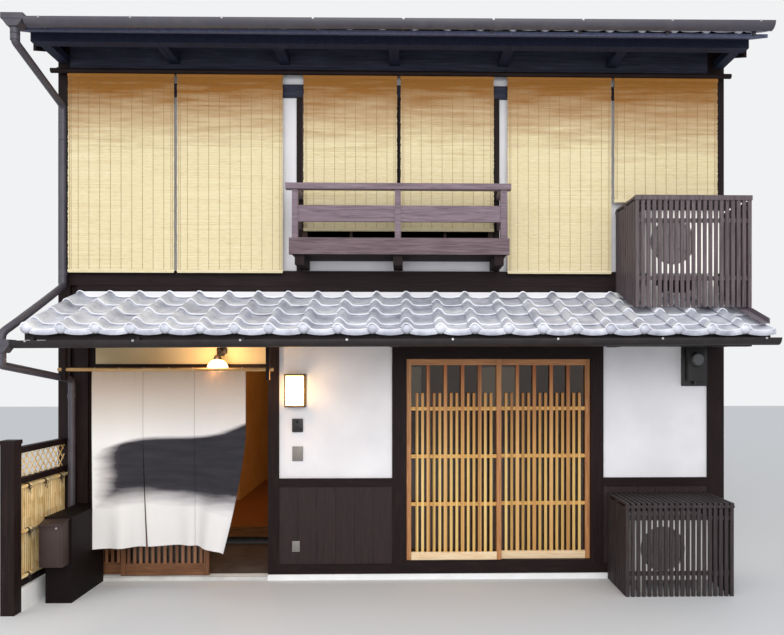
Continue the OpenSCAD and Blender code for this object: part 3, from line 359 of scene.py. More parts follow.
def clearGlass():
    # float glass: thin, clear, mirrors the sky at a slant; its grey-brown tint is painted shade, dimming the rooms
    # seen through it
    material, tree, surface, spot = newMaterial("floatGlass")
    feed(surface, {"Base Color": linear("#8C8476"), "Roughness": 0.02, "IOR": 1.5, "Transmission Weight": 1.0})
    return material


def litGlass(name, code, strength):
    # opal glass with a lamp behind it: an even warm glow
    material, tree, surface, spot = newMaterial(name)
    feed(surface, {"Base Color": linear("#FFF6E2"), "Roughness": 0.3, "Emission Color": linear(code),
                   "Emission Strength": strength})
    return material


def splitReed(name, lowest):
    # threaded split reed: straw yellow stalks, each its own tone, with painted shade making them browner under the
    # eave
    material, tree, surface, spot = newMaterial(name)
    split = addNode(tree, "SeparateXYZ", links={"Vector": spot})
    rows = addNode(tree, "Mapping", {"Scale": (0.9, 1, 230)}, {"Vector": spot})
    stalk = addNode(tree, "TexNoise", {"Scale": 1.0, "Detail": 3.0, "Roughness": 0.7}, {"Vector": (rows, 0)})
    fine = addNode(tree, "Mapping", {"Scale": (14, 1, 160)}, {"Vector": spot})
    fleck = addNode(tree, "TexNoise", {"Scale": 1.0, "Detail": 4.0, "Roughness": 0.75}, {"Vector": (fine, 0)})
    half = addNode(tree, "Math", {"operation": "MULTIPLY", 1: 0.45}, {0: (fleck, "Fac")})
    both = addNode(tree, "Math", {"operation": "MULTIPLY_ADD", 1: 0.55}, {0: (stalk, "Fac"), 2: (half, 0)})
    colour = addNode(tree, "ValToRGB", {"ramp": [(0.27, "#8C6C3E"), (0.37, "#D8C492"), (0.47, "#E6D8AE"),
                                                 (0.62, "#F3EACC")]}, {"Fac": (both, 0)})
    wide = addNode(tree, "Mapping", {"Scale": (2.2, 1, 26)}, {"Vector": spot})
    blot = addNode(tree, "TexNoise", {"Scale": 1.0, "Detail": 4.0}, {"Vector": (wide, 0)})
    # painted eave shade, rising from the height lowest; the shaded copy of the reed starts it lower
    level = addNode(tree, "Math", {"operation": "MULTIPLY_ADD", 1: 0.55}, {0: (blot, "Fac"), 2: (split, "Z")})
    high = addNode(tree, "MapRange", {"From Min": lowest, "From Max": 4.70}, {"Value": (level, 0)})
    eaveShaded = addNode(tree, "Mix", {"data_type": "RGBA", "blend_type": "MULTIPLY", 7: linear("#B47E34")},
                   {"Factor": (high, 0), 6: (colour, 0)})
    feed(surface, {"Base Color": (eaveShaded, 2), "Roughness": 0.6})
    return material


def bambooSkin(along="Z", stem=None):
    # dried bamboo: waxy straw yellow with darker nodes and faint scratches
    material, tree, surface, spot = newMaterial("driedBamboo" + along + ("Stems" if stem else ""))
    turned = addNode(tree, "Mapping", {"Scale": (1, 0.08, 1) if along == "Y" else (1, 1, 0.08)}, {"Vector": spot})
    streak = addNode(tree, "TexNoise", {"Scale": mm / 12, "Detail": 4.0}, {"Vector": (turned, 0)})
    cloud = addNode(tree, "TexNoise", {"Scale": 9.0, "Detail": 3.0}, {"Vector": spot})
    half = addNode(tree, "Math", {"operation": "MULTIPLY", 1: 0.5}, {0: (cloud, "Fac")})
    both = addNode(tree, "Math", {"operation": "MULTIPLY_ADD", 1: 0.5}, {0: (streak, "Fac"), 2: (half, 0)})
    last = addNode(tree, "ValToRGB", {"ramp": [(0.35, "#D8B070"), (0.5, "#F4D496"), (0.65, "#FBE8BC")]},
                   {"Fac": (both, 0)})
    if stem:
        # each stem of the fence has its own tone
        split = addNode(tree, "SeparateXYZ", links={"Vector": spot})
        steps = addNode(tree, "Math", {"operation": "DIVIDE", 1: stem}, {0: (split, "Y")})
        whole = addNode(tree, "Math", {"operation": "FLOOR"}, {0: (steps, 0)})
        chance = addNode(tree, "TexWhiteNoise", {"noise_dimensions": "1D"}, {"W": (whole, 0)})
        tone = addNode(tree, "MapRange", {"To Min": 0.9, "To Max": 1.15}, {"Value": (chance, "Value")})
        # painted shade darkens the gap between two round stems
        part = addNode(tree, "Math", {"operation": "PINGPONG", 1: stem / 2}, {0: (split, "Y")})
        joint = addNode(tree, "MapRange", {"From Min": 0.0, "From Max": stem * 0.16, "To Min": 0.22},
                        {"Value": (part, 0)})
        shade = addNode(tree, "Math", {"operation": "MULTIPLY"}, {0: (tone, 0), 1: (joint, 0)})
        last = addNode(tree, "VectorMath", {"operation": "SCALE"}, {0: (last, 0), "Scale": (shade, 0)})
    lift = addNode(tree, "Bump", {"Strength": 0.15, "Distance": 0.001}, {"Height": (streak, "Fac")})
    feed(surface, {"Base Color": (last, 0), "Roughness": 0.42, "Normal": (lift, 0)})
    return material


def castStone(name, colours, speck=5):
    # trowelled concrete and honed granite: pale, matt, fine specks
    material, tree, surface, spot = newMaterial(name)
    cloud = addNode(tree, "TexNoise", {"Scale": 5.0, "Detail": 6.0}, {"Vector": spot})
    grit = addNode(tree, "TexNoise", {"Scale": mm / speck, "Detail": 2.0}, {"Vector": spot})
    both = addNode(tree, "Math", {"operation": "MULTIPLY_ADD", 1: 0.35}, {0: (grit, "Fac"), 2: (cloud, "Fac")})
    colour = addNode(tree, "ValToRGB", {"ramp": [(0.5, colours[0]), (0.8, colours[1])]}, {"Fac": (both, 0)})
    lift = addNode(tree, "Bump", {"Strength": 0.2, "Distance": 0.002}, {"Height": (grit, "Fac")})
    feed(surface, {"Base Color": (colour, 0), "Roughness": 0.8, "Normal": (lift, 0)})
    return material


curtainSet = {"x0": -2.602, "width": 1.320, "y": -0.250, "top": 1.8797, "drop": 1.553, "slit": 0.580,
              "panels": 3, "thick": 0.0012}


def wovenLinen():
    # plain woven linen, dyed: soft white with a brushed charcoal band, and a weave at 3 mm, coarser than real so
    # that it shows
    material, tree, surface, spot = newMaterial("wovenLinen")
    flat = (addNode(tree, "UVMap", {"uv_map": "cloth"}), 0)
    thread = {"Scale": mm / 3 / 6.283, "Distortion": 1.5}
    warp = addNode(tree, "TexWave", {"bands_direction": "X", **thread}, {"Vector": flat})
    weft = addNode(tree, "TexWave", {"bands_direction": "Y", **thread}, {"Vector": flat})
    weave = addNode(tree, "Math", {"operation": "MULTIPLY"}, {0: (warp, "Fac"), 1: (weft, "Fac")})
    split = addNode(tree, "SeparateXYZ", links={"Vector": flat})
    dye = addNode(tree, "Attribute", {"attribute_name": "dye", "attribute_type": "GEOMETRY"})
    brush = addNode(tree, "Mapping", {"Scale": (0.5, 3.0, 1)}, {"Vector": flat})
    cloud = addNode(tree, "TexNoise", {"Scale": 6.0, "Detail": 6.0}, {"Vector": (brush, 0)})
    edge = addNode(tree, "Math", {"operation": "MULTIPLY_ADD", 1: 0.5, 2: -0.27}, {0: (cloud, "Fac")})
    soaked = addNode(tree, "Math", {"operation": "ADD", "use_clamp": True}, {0: (dye, "Fac"), 1: (edge, 0)})
    colour = addNode(tree, "ValToRGB", {"ramp": [(0.05, "#FDFBF9"), (0.40, "#CFCACB"), (0.80, "#3D3A41"),
                                                 (1.0, "#2C2A30")]}, {"Fac": (soaked, 0)})
    # painted shade with a warm cast of lamp light darkens the head; a stitched seam runs down to each slit
    head = addNode(tree, "MapRange", {"From Min": -0.62, "From Max": -0.02}, {"Value": (split, "Y")})
    headShaded = addNode(tree, "Mix", {"data_type": "RGBA", "blend_type": "MULTIPLY", 7: linear("#D4BEA8")},
                    {"Factor": (head, 0), 6: (colour, 0)})
    third = addNode(tree, "Math", {"operation": "PINGPONG", 1: curtainSet["width"] / (2 * curtainSet["panels"])},
                    {0: (split, "X")})
    seam = addNode(tree, "Math", {"operation": "LESS_THAN", 1: 0.004}, {0: (third, 0)})
    seamed = addNode(tree, "Math", {"operation": "MULTIPLY", 1: 0.28}, {0: (seam, 0)})
    stitched = addNode(tree, "Mix", {"data_type": "RGBA", "blend_type": "MULTIPLY", 7: linear("#6A6058")},
                       {"Factor": (seamed, 0), 6: (headShaded, 2)})
    lift = addNode(tree, "Bump", {"Strength": 0.25, "Distance": 0.001}, {"Height": (weave, 0)})
    feed(surface, {"Base Color": (stitched, 2), "Roughness": 0.85, "Sheen Weight": 0.15, "Normal": (lift, 0)})
    # thin cloth: a lamp behind it shows through
    through = addNode(tree, "BsdfTranslucent", links={"Color": (stitched, 2)})
    blend = addNode(tree, "MixShader", {0: 0.26}, {1: (surface, "BSDF"), 2: (through, 0)})
    output = [node for node in tree.nodes if node.type == "OUTPUT_MATERIAL"][0]
    feed(output, {"Surface": (blend, 0)})
    return material


def plainFinish(name, code, rough, metallic=0.0):
    # moulded or turned small parts: an even skin with slight mottling
    material, tree, surface, spot = newMaterial(name)
    cloud = addNode(tree, "TexNoise", {"Scale": 40.0, "Detail": 3.0}, {"Vector": spot})
    base = linear(code)[:3]
    colour = addNode(tree, "Mix", {"data_type": "RGBA", 6: [c * 0.9 for c in base] + [1],
                                   7: [min(1, c * 1.08) for c in base] + [1]}, {"Factor": (cloud, "Fac")})
    feed(surface, {"Base Color": (colour, 2), "Roughness": rough, "Metallic": metallic})
    return material


# stained or oiled timber: the tones of the grain, its direction, ring width in mm, roughness, bump and shine
darkStain = ("#170D0D", "#211515", "#2C1F1F")
timberSet = {
    "postCedar": (darkStain, "Z", 16, 0.6, 0.25, 0.16),
    "beamCedar": (darkStain, "X", 16, 0.6, 0.25, 0.16),
    "boardCedar": (("#271C1D", "#302324", "#3A2C2C"), "Z", 12, 0.6, 0.12),
    "eaveCedar": (("#4A4E64", "#595D76", "#686C86"), "Y", 18, 0.7),
    "rafterCedar": (("#1F1A1C", "#2D2627", "#3A3133"), "Y", 14, 0.6),
    "balconyCedar": (("#5E4E55", "#78676F", "#8B7B84"), "X", 14, 0.55),
    "fasciaCedar": (("#4E3E42", "#69575C", "#7C696F"), "X", 14, 0.55),
    "slatCedar": (("#4B4043", "#5F5457", "#706568"), "Z", 12, 0.55),
    "sashWood": (("#3D2C26", "#553F36", "#6A5044"), "Z", 12, 0.5),
    "lowSlatCedar": (("#2C2425", "#3A3233", "#494042"), "Z", 12, 0.6),
    # painted shade: the eave arms are darker than the deck, against the light they catch from below
    "armCedar": (("#1A1D2E", "#23273B", "#2C3148"), "Y", 18, 0.7),
    # painted light: the beams under the eave are coloured lighter and bluer than the same beams lower down
    "plateCedar": (("#262835", "#353746", "#444658"), "X", 18, 0.7),
    "frameCypress": (("#966238", "#B87E4C", "#CE9664"), "Z", 12, 0.5, 0.2, 0.4),
    "railCypress": (("#96623A", "#B87E4E", "#CE9662"), "X", 12, 0.5, 0.2, 0.4),
    # painted light: the cross rails and the foot rail are paler copies of the same cypress, lit below the eave's
    # shade
    "crossCypress": (("#C08A44", "#DEAA5C", "#F0C882"), "X", 12, 0.5, 0.2, 0.4),
    "footCypress": (("#E2BC8C", "#F2D6AE", "#F8E6CA"), "X", 12, 0.5, 0.2, 0.4),
    "doorFrame": (("#54341F", "#704A30", "#8A6040"), "Z", 12, 0.5, 0.2, 0.3),
    "doorRail": (("#54341F", "#704A30", "#8A6040"), "X", 12, 0.5, 0.2, 0.3),
    "floorBoards": (("#6E441F", "#8A5A2E", "#A47242"), "X", 18, 0.5),
    "poleWood": (("#A8804E", "#C49C68", "#D8B584"), "X", 10, 0.45)}
# slatted work: the tones, pitch and first edge of the bars, the heights between which the painted eave shade deepens,
# and the shade's tint
barSet = {
    "doorCedar": (("#5C3A24", "#7C5236", "#96684A"), 0.053, -2.62, 0.6, 1.9, "#B89080"),
    "cypress": (("#9C6A3A", "#CFA062", "#EBCB92"), 0.0525, 0.10, 1.2, 2.0, "#A86A48"),
    "fullBar": (("#A0703C", "#CC9650", "#E2B270"), 0.0525, 0.10, 1.1, 1.95, "#C08A68"),
    "shortBar": (("#AA7E3E", "#DAAE62", "#F2D088"), 0.0525, 0.10, 0.9, 1.9, "#C08C5C")}
# moulded, turned and cast small parts: the material's name, colour, roughness and metallic
plainSet = {
    "brass": ("agedBrass", "#5E4A2C", 0.45, 0.5), "blackBrass": ("blackenedBrass", "#2A221E", 0.4, 0.5),
    "casing": ("mouldedCasing", "#1C1A1B", 0.45), "panelMetal": ("brushedPanel", "#86807C", 0.42, 0.2),
    "thread": ("brownThread", "#98794A", 0.8), "rope": ("palmRope", "#2A2220", 0.9),
    "plainLinen": ("linenTape", "#C0AC90", 0.85), "clip": ("zincClip", "#B9BABC", 0.35, 0.8),
    "lens": ("blackLens", "#0E0F12", 0.15), "dial": ("smokedDial", "#5A5C5E", 0.2),
    "recess": ("shadedCasing", "#625E5C", 0.5)}
fenceSet = {"x": -2.958, "y0": -0.785, "y1": -0.001, "low": 0.230, "high": 0.989, "pole": 0.0148, "stems": 25,
            "rails": (0.965, 0.610, 0.255), "railAt": 0.029, "railThick": 0.0155, "strips": (1.038, 1.235),
            "ties": (-0.655, -0.400, -0.140)}
finish = {
    **{name: stainedTimber(name, *given) for name, given in timberSet.items()},
    **{name: barTimber(name, *given) for name, given in barSet.items()},
    **{name: plainFinish(*given) for name, given in plainSet.items()},
    "plaster": limePlaster("limePlaster", "#E6E4E7", "#F1EFF1"),
    "wallPlaster": limePlaster("partyPlaster", "#D3CFC6", "#DEDAD2"),
    # painted light: the globe lamp's warm pool on the plaster round the entrance
    "globeLitPlaster": limePlaster("globeLitPlaster", "#D4C096", "#E0CEA8"),
    # painted light: the inner wall's plaster coloured by the warm hall lamps
    "litPlaster": limePlaster("lampLitPlaster", "#D9B06C", "#E6C384"),
    "tile": smokedClay(),
    "verge": paintedMetal("foldedSteel", "#6A6068", 0.45),
    "lowGutter": paintedMetal("darkEnamelSteel", "#241E20", 0.45, "#6A6462", 0.10, 0.35),
    "gutter": paintedMetal("enamelSteel", "#46424B"),
    "unit": paintedMetal("ivoryEnamel", "#D6D4CE", 0.4),
    "box": paintedMetal("darkEnamel", "#140C0B", 0.6, "#3A3030", 0.05, 0.12),
    "mailbox": paintedMetal("brownEnamel", "#3A2C2A", 0.45, "#5A5050", 0.08, 0.3),
    "glass": clearGlass(),
    "globe": litGlass("opalGlobe", "#FFCF88", 4.5),
    "reed": splitReed("splitReed", 4.13),
    "shadedReed": splitReed("shadedReed", 4.04),
    "bamboo": bambooSkin(),
    "bambooRail": bambooSkin("Y"),
    "bambooStems": bambooSkin("Z", (fenceSet["y1"] - fenceSet["y0"]) / fenceSet["stems"]),
    "concrete": castStone("castConcrete", ("#EFEFEE", "#F8F8F8")),
    "earthFloor": castStone("earthFloor", ("#4A4442", "#5E5754")),
    "granite": castStone("honedGranite", ("#BFBEBA", "#D9D8D4"), 3),
    "linen": wovenLinen(),
}
print("materials ready")

nodeFinish = {
    "concrete": ["footings"], "earthFloor": ["doma_floor"], "floorBoards": ["timber_floors"],
    "litPlaster": ["inner_wall"], "wallPlaster": ["party_walls", "rear_wall"], "plaster": ["plaster_walls"],
    "glass": ["window_glass", "door_pane_left", "door_pane_right"], "postCedar": ["front_posts", "fence_frame"],
    "beamCedar": ["front_beams", "entry_head", "barge_boards", "blind_pole"], "boardCedar": ["wainscots"],
    "granite": ["entry_threshold"], "doorCedar": ["entry_door_left", "entry_door_right"],
    "cypress": ["lattice_left", "lattice_right"], "sashWood": ["upper_sashes"], "armCedar": ["eave_frames"],
    "eaveCedar": ["roof_deck"], "rafterCedar": ["pent_roof_deck"],
    "tile": ["pent_roof_tiles", "roof_tiles", "ridge_tiles"], "gutter": ["gutters", "rain_hoppers", "downpipes"],
    "balconyCedar": ["balcony_floor", "balcony_railing"], "reed": ["reed_blinds"],
    "slatCedar": ["cover_fronts", "cover_sides", "cover_tops"], "unit": ["ac_units"], "bamboo": ["fence_panels"],
    "box": ["letterbox", "side_cabinet"], "poleWood": ["curtain_rail"], "linen": ["curtain"],
    "brass": ["lamp_metalwork"], "globe": ["lamp_glasses"], "casing": ["wall_fittings"],
}
for key, names in nodeFinish.items():
    for name in names:
        paintNode(name, finish[key])

# the parts of a node that another finish covers, told apart by where their faces lie
for name, key, test in (
        # painted light: the plates under the eave are lighter and bluer than the beam stain below
        ("front_beams", "plateCedar", lambda c: c.z > 4.3),
        # painted light: the globe lamp's warm glow on the plaster by the entrance
        ("plaster_walls", "globeLitPlaster", lambda c: c.x < -1.1 and c.z < 2.7),
        ("gutters", "lowGutter", lambda c: c.z < 3),
        ("eave_frames", "rafterCedar", lambda c: c.z < 3),
        ("balcony_floor", "fasciaCedar", lambda c: c.y < -0.36),
        # painted shade: the balcony's brackets below the floor are in the dark post stain
        ("balcony_floor", "postCedar", lambda c: c.z < 2.872),
        ("curtain_rail", "postCedar", lambda c: c.z > 1.915 or (c.x < -2.6 and abs(c.z - 1.895) > 0.02)),
        ("cover_fronts", "lowSlatCedar", lambda c: c.z < 1.5),
        ("cover_sides", "lowSlatCedar", lambda c: c.z < 1.5),
        ("cover_tops", "lowSlatCedar", lambda c: c.z < 1.5)):
    paintFaces(name, finish[key], test)

makeCamera()
makeStage()
print("camera and light ready")

houseDepth = 7.880
tileSet = {"width": 0.263, "exposed": 0.275, "lap": 0.035, "thick": 0.015, "lift": 0.018, "lip": 0.012,
           "rollAt": 0.0447, "rollHigh": 0.036, "trough": 0.014, "overlap": 0.012, "early": 0.003,
           "bun": 0.0445, "bunHigh": 0.040, "lipFrom": 0.070, "lipPast": 0.022, "lipThick": 0.013}
# painted light on one tile: the painted shade of its underside, the painted highlight of its front edge, its face,
# how fast painted shade dims it upwards, and the spread of tiles
toneSet = {"under": -0.8, "edge": 0.85, "face": 0.05, "dims": 0.75, "from": 0.3, "spread": 0.32,
           "bun": -0.04, "lipTop": -0.02, "lipFoot": -0.16}
pentRoof = {"x0": -2.830, "columns": 22, "edge": -0.940, "top": 2.529, "slope": 0.38,
            "fronts": [-0.940, -0.800, -0.543, -0.286, -0.029], "reach": -0.010}
mainRoof = {"x0": -3.0245, "columns": 23, "edge": -0.690, "top": 4.9155, "slope": 0.42, "ridgeY": 3.940}


def tileHeight(x):
    # a shallow trough and a narrow round roll: steep left flank, softer right one
    d = x - tileSet["rollAt"]
    trough = tileSet["trough"] + 0.020 * min(1.0, ((x - 0.170) / 0.125) ** 2)
    return trough + tileSet["rollHigh"] * math.exp(-abs(d / (0.036 if d < 0 else 0.045)) ** 3.6)


def makeTile(length, across, along):
    tile = gridOf(across, along)
    for v in tile.data.vertices:
        x = (v.co.x + 0.5) * (tileSet["width"] + tileSet["overlap"]) - tileSet["early"]
        y = (v.co.y + 0.5) * length
        if 0.001 < y < length * 1.01 / along:
            y = tileSet["lip"]
        v.co = (x, y, tileHeight(x) + tileSet["lift"] * (1 - y / length))
    applyModifier(tile, "SOLIDIFY", thickness=tileSet["thick"], offset=-1)
    # painted highlight on the front edge, painted shade on the underside, and painted shade where the next tile laps
    # over
    tone = tile.data.attributes.new("tileTone", "FLOAT", "POINT")
    upper = (across + 1) * (along + 1)
    for v in tile.data.vertices:
        if v.index >= upper:
            value = toneSet["under"]
        elif v.co.y < 0.005:
            value = toneSet["edge"]
        else:
            value = toneSet["face"] - toneSet["dims"] * max(0.0, v.co.y / length - toneSet["from"])
        tone.data[v.index].value = value
    return tile


def toneTile(piece, chance):
    shade = chance.uniform(0, toneSet["spread"])
    for item in piece.data.attributes["tileTone"].data:
        item.value += shade


def turnToRear(piece):
    # the rear slope is the front one, turned about the middle of the house
    piece.data.transform(Matrix.Translation((0, houseDepth, 0)) @ Matrix.Rotation(math.pi, 4, "Z"))


def layTiles(name, roof, fronts, across, side=0):
    # rows from the eave up, each tile tilted a hair differently
    chance = random.Random(len(name) + 7 * side)
    angle = math.atan(roof["slope"])
    laid = []
    for k, y in enumerate(fronts):
        nextY = fronts[k + 1] if k + 1 < len(fronts) else roof["reach"]
        length = min((nextY - y) / math.cos(angle) + tileSet["lap"], (roof["reach"] - y) / math.cos(angle))
        unit = makeTile(length, across, 2 if across < 14 else 3)
        for i in range(roof["columns"]):
            spot = Vector((roof["x0"] + i * tileSet["width"], y, roof["top"] + roof["slope"] * y))
            turn = (Matrix.Rotation(angle + chance.uniform(-0.003, 0.003), 4, "X")
                    @ Matrix.Rotation(chance.uniform(-0.004, 0.004), 4, "Z"))
            tile = copyTo(unit, "tileCopy", matrix=Matrix.Translation(spot) @ turn)
            toneTile(tile, chance)
            laid.append(tile)
        bpy.data.objects.remove(unit)
    piece = joinAll(laid, name)
    if side:
        turnToRear(piece)
    return dress(piece, finish["tile"], smooth=38)


def makeEaveCaps(name, roof, lipHigh, side=0):
    # a round bun closes each roll, and a lip hangs under each trough
    z = roof["top"] + roof["slope"] * roof["edge"]
    deselectAll()
    bpy.ops.mesh.primitive_uv_sphere_add(segments=18, ring_count=10, radius=tileSet["bun"])
    bun = bpy.context.object
    for v in bun.data.vertices:
        v.co.y *= 0.9 if v.co.y > 0 else 0.62
    lip = gridOf(14, 3)
    for v in lip.data.vertices:
        u, w = v.co.x + 0.5, v.co.y + 0.5
        x = tileSet["lipFrom"] + u * (tileSet["width"] - tileSet["lipFrom"] + tileSet["lipPast"])
        top = tileHeight(min(x, tileSet["width"])) + tileSet["lift"] - 0.003
        low = tileSet["trough"] + 0.012 * (2 * u - 1) ** 2 + tileSet["lift"] - lipHigh
        v.co = (x, -0.004 * math.sin(math.pi * w), low + (top - low) * w)
    applyModifier(lip, "SOLIDIFY", thickness=tileSet["lipThick"], offset=1)
    # painted shade: the foot of each lip is darker than its top
    for part in (bun, lip):
        tone = part.data.attributes.new("tileTone", "FLOAT", "POINT")
        for v in part.data.vertices:
            onLip = toneSet["lipTop"] if v.co.z > 0.020 else toneSet["lipFoot"]
            tone.data[v.index].value = toneSet["bun"] if part is bun else onLip
    parts = []
    for i in range(roof["columns"]):
        x = roof["x0"] + i * tileSet["width"]
        parts.append(copyTo(bun, "bunCopy", (x + tileSet["rollAt"], roof["edge"] - 0.004, z + tileSet["bunHigh"])))
        parts.append(copyTo(lip, "lipCopy", (x, roof["edge"] + 0.004, z)))
    bpy.data.objects.remove(bun)
    bpy.data.objects.remove(lip)
    piece = joinAll(parts, name)
    if side:
        turnToRear(piece)
    return dress(piece, finish["tile"], smooth=40)


def lieOnRoof(piece, roof):
    for v in piece.data.vertices:
        v.co.z += roof["top"] + roof["slope"] * v.co.y
    return piece


def makePentRoof():
    pentTiles = layTiles("pentTileField", pentRoof, pentRoof["fronts"], 22)
    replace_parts(pentTiles, "pent_roof_tiles")
    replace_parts(makeEaveCaps("pentEaveCaps", pentRoof, 0.043), "pent_roof_tiles")
    # the clay bed that the tiles lie on, closed at the eave, and a plaster fill under the top course
    x0, x1 = pentRoof["x0"], pentRoof["x0"] + pentRoof["columns"] * tileSet["width"]
    bed = boxAt("pentTileBed", (x0, pentRoof["edge"] + 0.03, 0), (x1, pentRoof["reach"], 0.01))
    dress(lieOnRoof(bed, pentRoof), finish["tile"])
    infill = boxAt("troughPlaster", (-2.828, -0.034, 2.522), (2.950, -0.010, 2.592))
    dress(infill, finish["plaster"])
    # folded metal verge strip over the last trough, with an upstand
    verge = boxAt("vergeStrip", (2.893, -0.880, 0.062), (2.968, -0.040, 0.072))
    upstand = boxAt("vergeUpstand", (2.960, -0.880, 0.062), (2.968, -0.040, 0.104))
    strip = lieOnRoof(joinAll([verge, upstand], "vergeStrip"), pentRoof)
    dress(softenEdges(strip, 0.002, 1), finish["verge"])


makePentRoof()
print("pent roof tiled")

rise = tileSet["exposed"] * math.cos(math.atan(mainRoof["slope"]))
mainFronts = [mainRoof["edge"] + k * rise for k in range(18)]
mainRoof["reach"] = mainRoof["ridgeY"] - 0.085
mainFronts = [y for y in mainFronts if y < mainRoof["reach"] - 0.08]
for side, name in ((0, "frontTileField"), (1, "rearTileField")):
    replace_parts(layTiles(name, mainRoof, mainFronts, 12, side), "roof_tiles")
    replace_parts(makeEaveCaps(name.replace("Field", "Caps"), mainRoof, 0.020, side), "roof_tiles")

ridgeSet = {"units": 22, "length": 0.262, "courses": ((0.135, -0.010), (0.120, 0.028), (0.106, 0.066)),
            "courseHigh": 0.034, "capZ": 0.125, "capRadius": 0.080, "collarRadius": 0.087, "collar": 0.040,
            "end": 0.104, "boss": 0.06, "endZ": 0.085, "endThick": 0.060, "tone": 0.12}


def makeRidge():
    # flat courses stepping in, with round cap tiles that lap over each other
    low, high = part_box("ridge_tiles")
    y, long, capZ = mainRoof["ridgeY"], ridgeSet["length"], ridgeSet["capZ"]
    parts = []
    for half, z in ridgeSet["courses"]:
        strip = boxAt("flatCourse", (0.002, -half, z), (long, half, z + ridgeSet["courseHigh"]))
        applyModifier(strip, "BEVEL", width=0.006, segments=2)
        parts.append(strip)
    parts.append(tubeAt("roundCap", (0, 0, capZ), (long, 0, capZ), ridgeSet["capRadius"], 24))
    parts.append(tubeAt("capCollar", (0, 0, capZ), (ridgeSet["collar"], 0, capZ), ridgeSet["collarRadius"], 24))
    unit = joinAll(parts, "ridgeUnit")
    tone = unit.data.attributes.new("tileTone", "FLOAT", "POINT")
    for item in tone.data:
        item.value = ridgeSet["tone"]
    baseZ = mainRoof["top"] + mainRoof["slope"] * y + 0.050
    first, step = low.x + 0.06, high.x - low.x - 0.12 - long
    copies = [copyTo(unit, "ridgeCopy", (first + i * step / (ridgeSet["units"] - 1), y, baseZ))
              for i in range(ridgeSet["units"])]
    bpy.data.objects.remove(unit)
    # a round end tile with a raised boss closes each end
    z, thick = baseZ + ridgeSet["endZ"], ridgeSet["endThick"]
    for x in (low.x + 0.002, high.x - 0.062):
        end = tubeAt("ridgeEnd", (x + 0.006, y, z), (x + thick - 0.006, y, z), ridgeSet["end"], 28)
        boss = tubeAt("ridgeEndRing", (x, y, z), (x + thick, y, z), ridgeSet["boss"], 28)
        copies += [bevelEdges(end, 0.012), bevelEdges(boss, 0.006)]
    copies.append(boxAt("ridgeCore", (low.x + 0.05, y - 0.06, baseZ - 0.07), (high.x - 0.05, y + 0.06, baseZ + 0.05)))
    ridge = joinAll(copies, "ridgeTiles")
    dress(ridge, finish["tile"], smooth=40)
    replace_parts(ridge, "ridge_tiles")


makeRidge()
print("main roof tiled")

# reed and thread give the spacing of the reeds and of the threads that hold them
# the pairs stand at the edges; each slat of split bamboo has its height above the foot or the head, and its width
blindSet = {"y": -0.070, "reed": 0.0075, "reedPlay": 0.004, "thread": 0.093, "thick": 0.006, "margin": 0.006,
            "threadHalf": 0.0012, "threadThick": 0.0008, "pairs": (0.018, 0.032), "slatFoot": (0.016, 0.014),
            "slatHead": (-0.028, 0.026), "slatFaces": (-0.0062, 0.0028), "slatThick": 0.0036}


def readBlinds():
    # left and right edge, foot and head of each blind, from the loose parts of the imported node
    boxes = {}
    for v in nodes["reed_blinds"].data.vertices:
        boxes.setdefault(round(v.co.x, 3), []).append(v.co.z)
    xs = sorted(boxes)
    return [(xs[i], xs[i + 1], min(boxes[xs[i]]), max(boxes[xs[i]])) for i in range(0, len(xs), 2)]


def makeBlind(number, x0, x1, z0, z1):
    chance = random.Random(31 + number)
    y, half, pitch = blindSet["y"], blindSet["thick"] / 2, blindSet["reed"]
    first = z0 + blindSet["margin"]
    # one thin reed, then a stack of them
    play = blindSet["reedPlay"]
    reed = tubeAt("reed", (x0 + play, y, first), (x1 - play, y, first), pitch * 0.53, 6)
    applyModifier(reed, "ARRAY", count=int((z1 - z0 - 2 * blindSet["margin"]) / pitch), use_relative_offset=False,
                  use_constant_offset=True, constant_offset_displace=(0, 0, pitch))
    reach = {}
    for v in reed.data.vertices:
        row = round((v.co.z - first) / pitch)
        if row not in reach:
            reach[row] = [chance.uniform(*span) for span in ((-0.004, 0.003), (-0.004, 0.003), (-0.0009, 0.0009))]
        v.co.x += reach[row][0] if v.co.x < (x0 + x1) / 2 else reach[row][1]
        v.co.y += reach[row][2]
    # the short blind at the right hangs in the deeper shade of the upper cover
    dress(reed, finish["shadedReed" if x0 > 1.5 else "reed"])
    reed.name = "reedBlind%d" % number
    # threads run down both faces, in close pairs at the edges
    near, far = blindSet["pairs"]
    spots = [x0 + near, x0 + far, x1 - far, x1 - near]
    inner = round((x1 - x0) / blindSet["thread"])
    spots += [x0 + i * (x1 - x0) / inner for i in range(1, inner)]
    threads, wide, deep = [], blindSet["threadHalf"], blindSet["threadThick"]
    for x in spots:
        for face in (y - half - wide, y + half + wide):
            threads.append(boxAt("thread", (x - wide, face - deep, z0 + 0.02), (x + wide, face + deep, z1 - 0.004)))
    dress(joinAll(threads, "blindThreads%d" % number), finish["thread"])
    # a split bamboo slat along the foot and the head, on both faces
    slats = []
    for end, (above, high) in ((z0, blindSet["slatFoot"]), (z1, blindSet["slatHead"])):
        for face in blindSet["slatFaces"]:
            slats.append(boxAt("slat", (x0, y + face, end + above),
                               (x1, y + face + blindSet["slatThick"], end + above + high)))
    dress(softenEdges(joinAll(slats, "blindSlats%d" % number), 0.001, 1), finish["reed"])
    return reed


for number, (x0, x1, z0, z1) in enumerate(readBlinds()):
    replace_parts(makeBlind(number, x0, x1, z0, z1), "reed_blinds")
print("blinds hung")


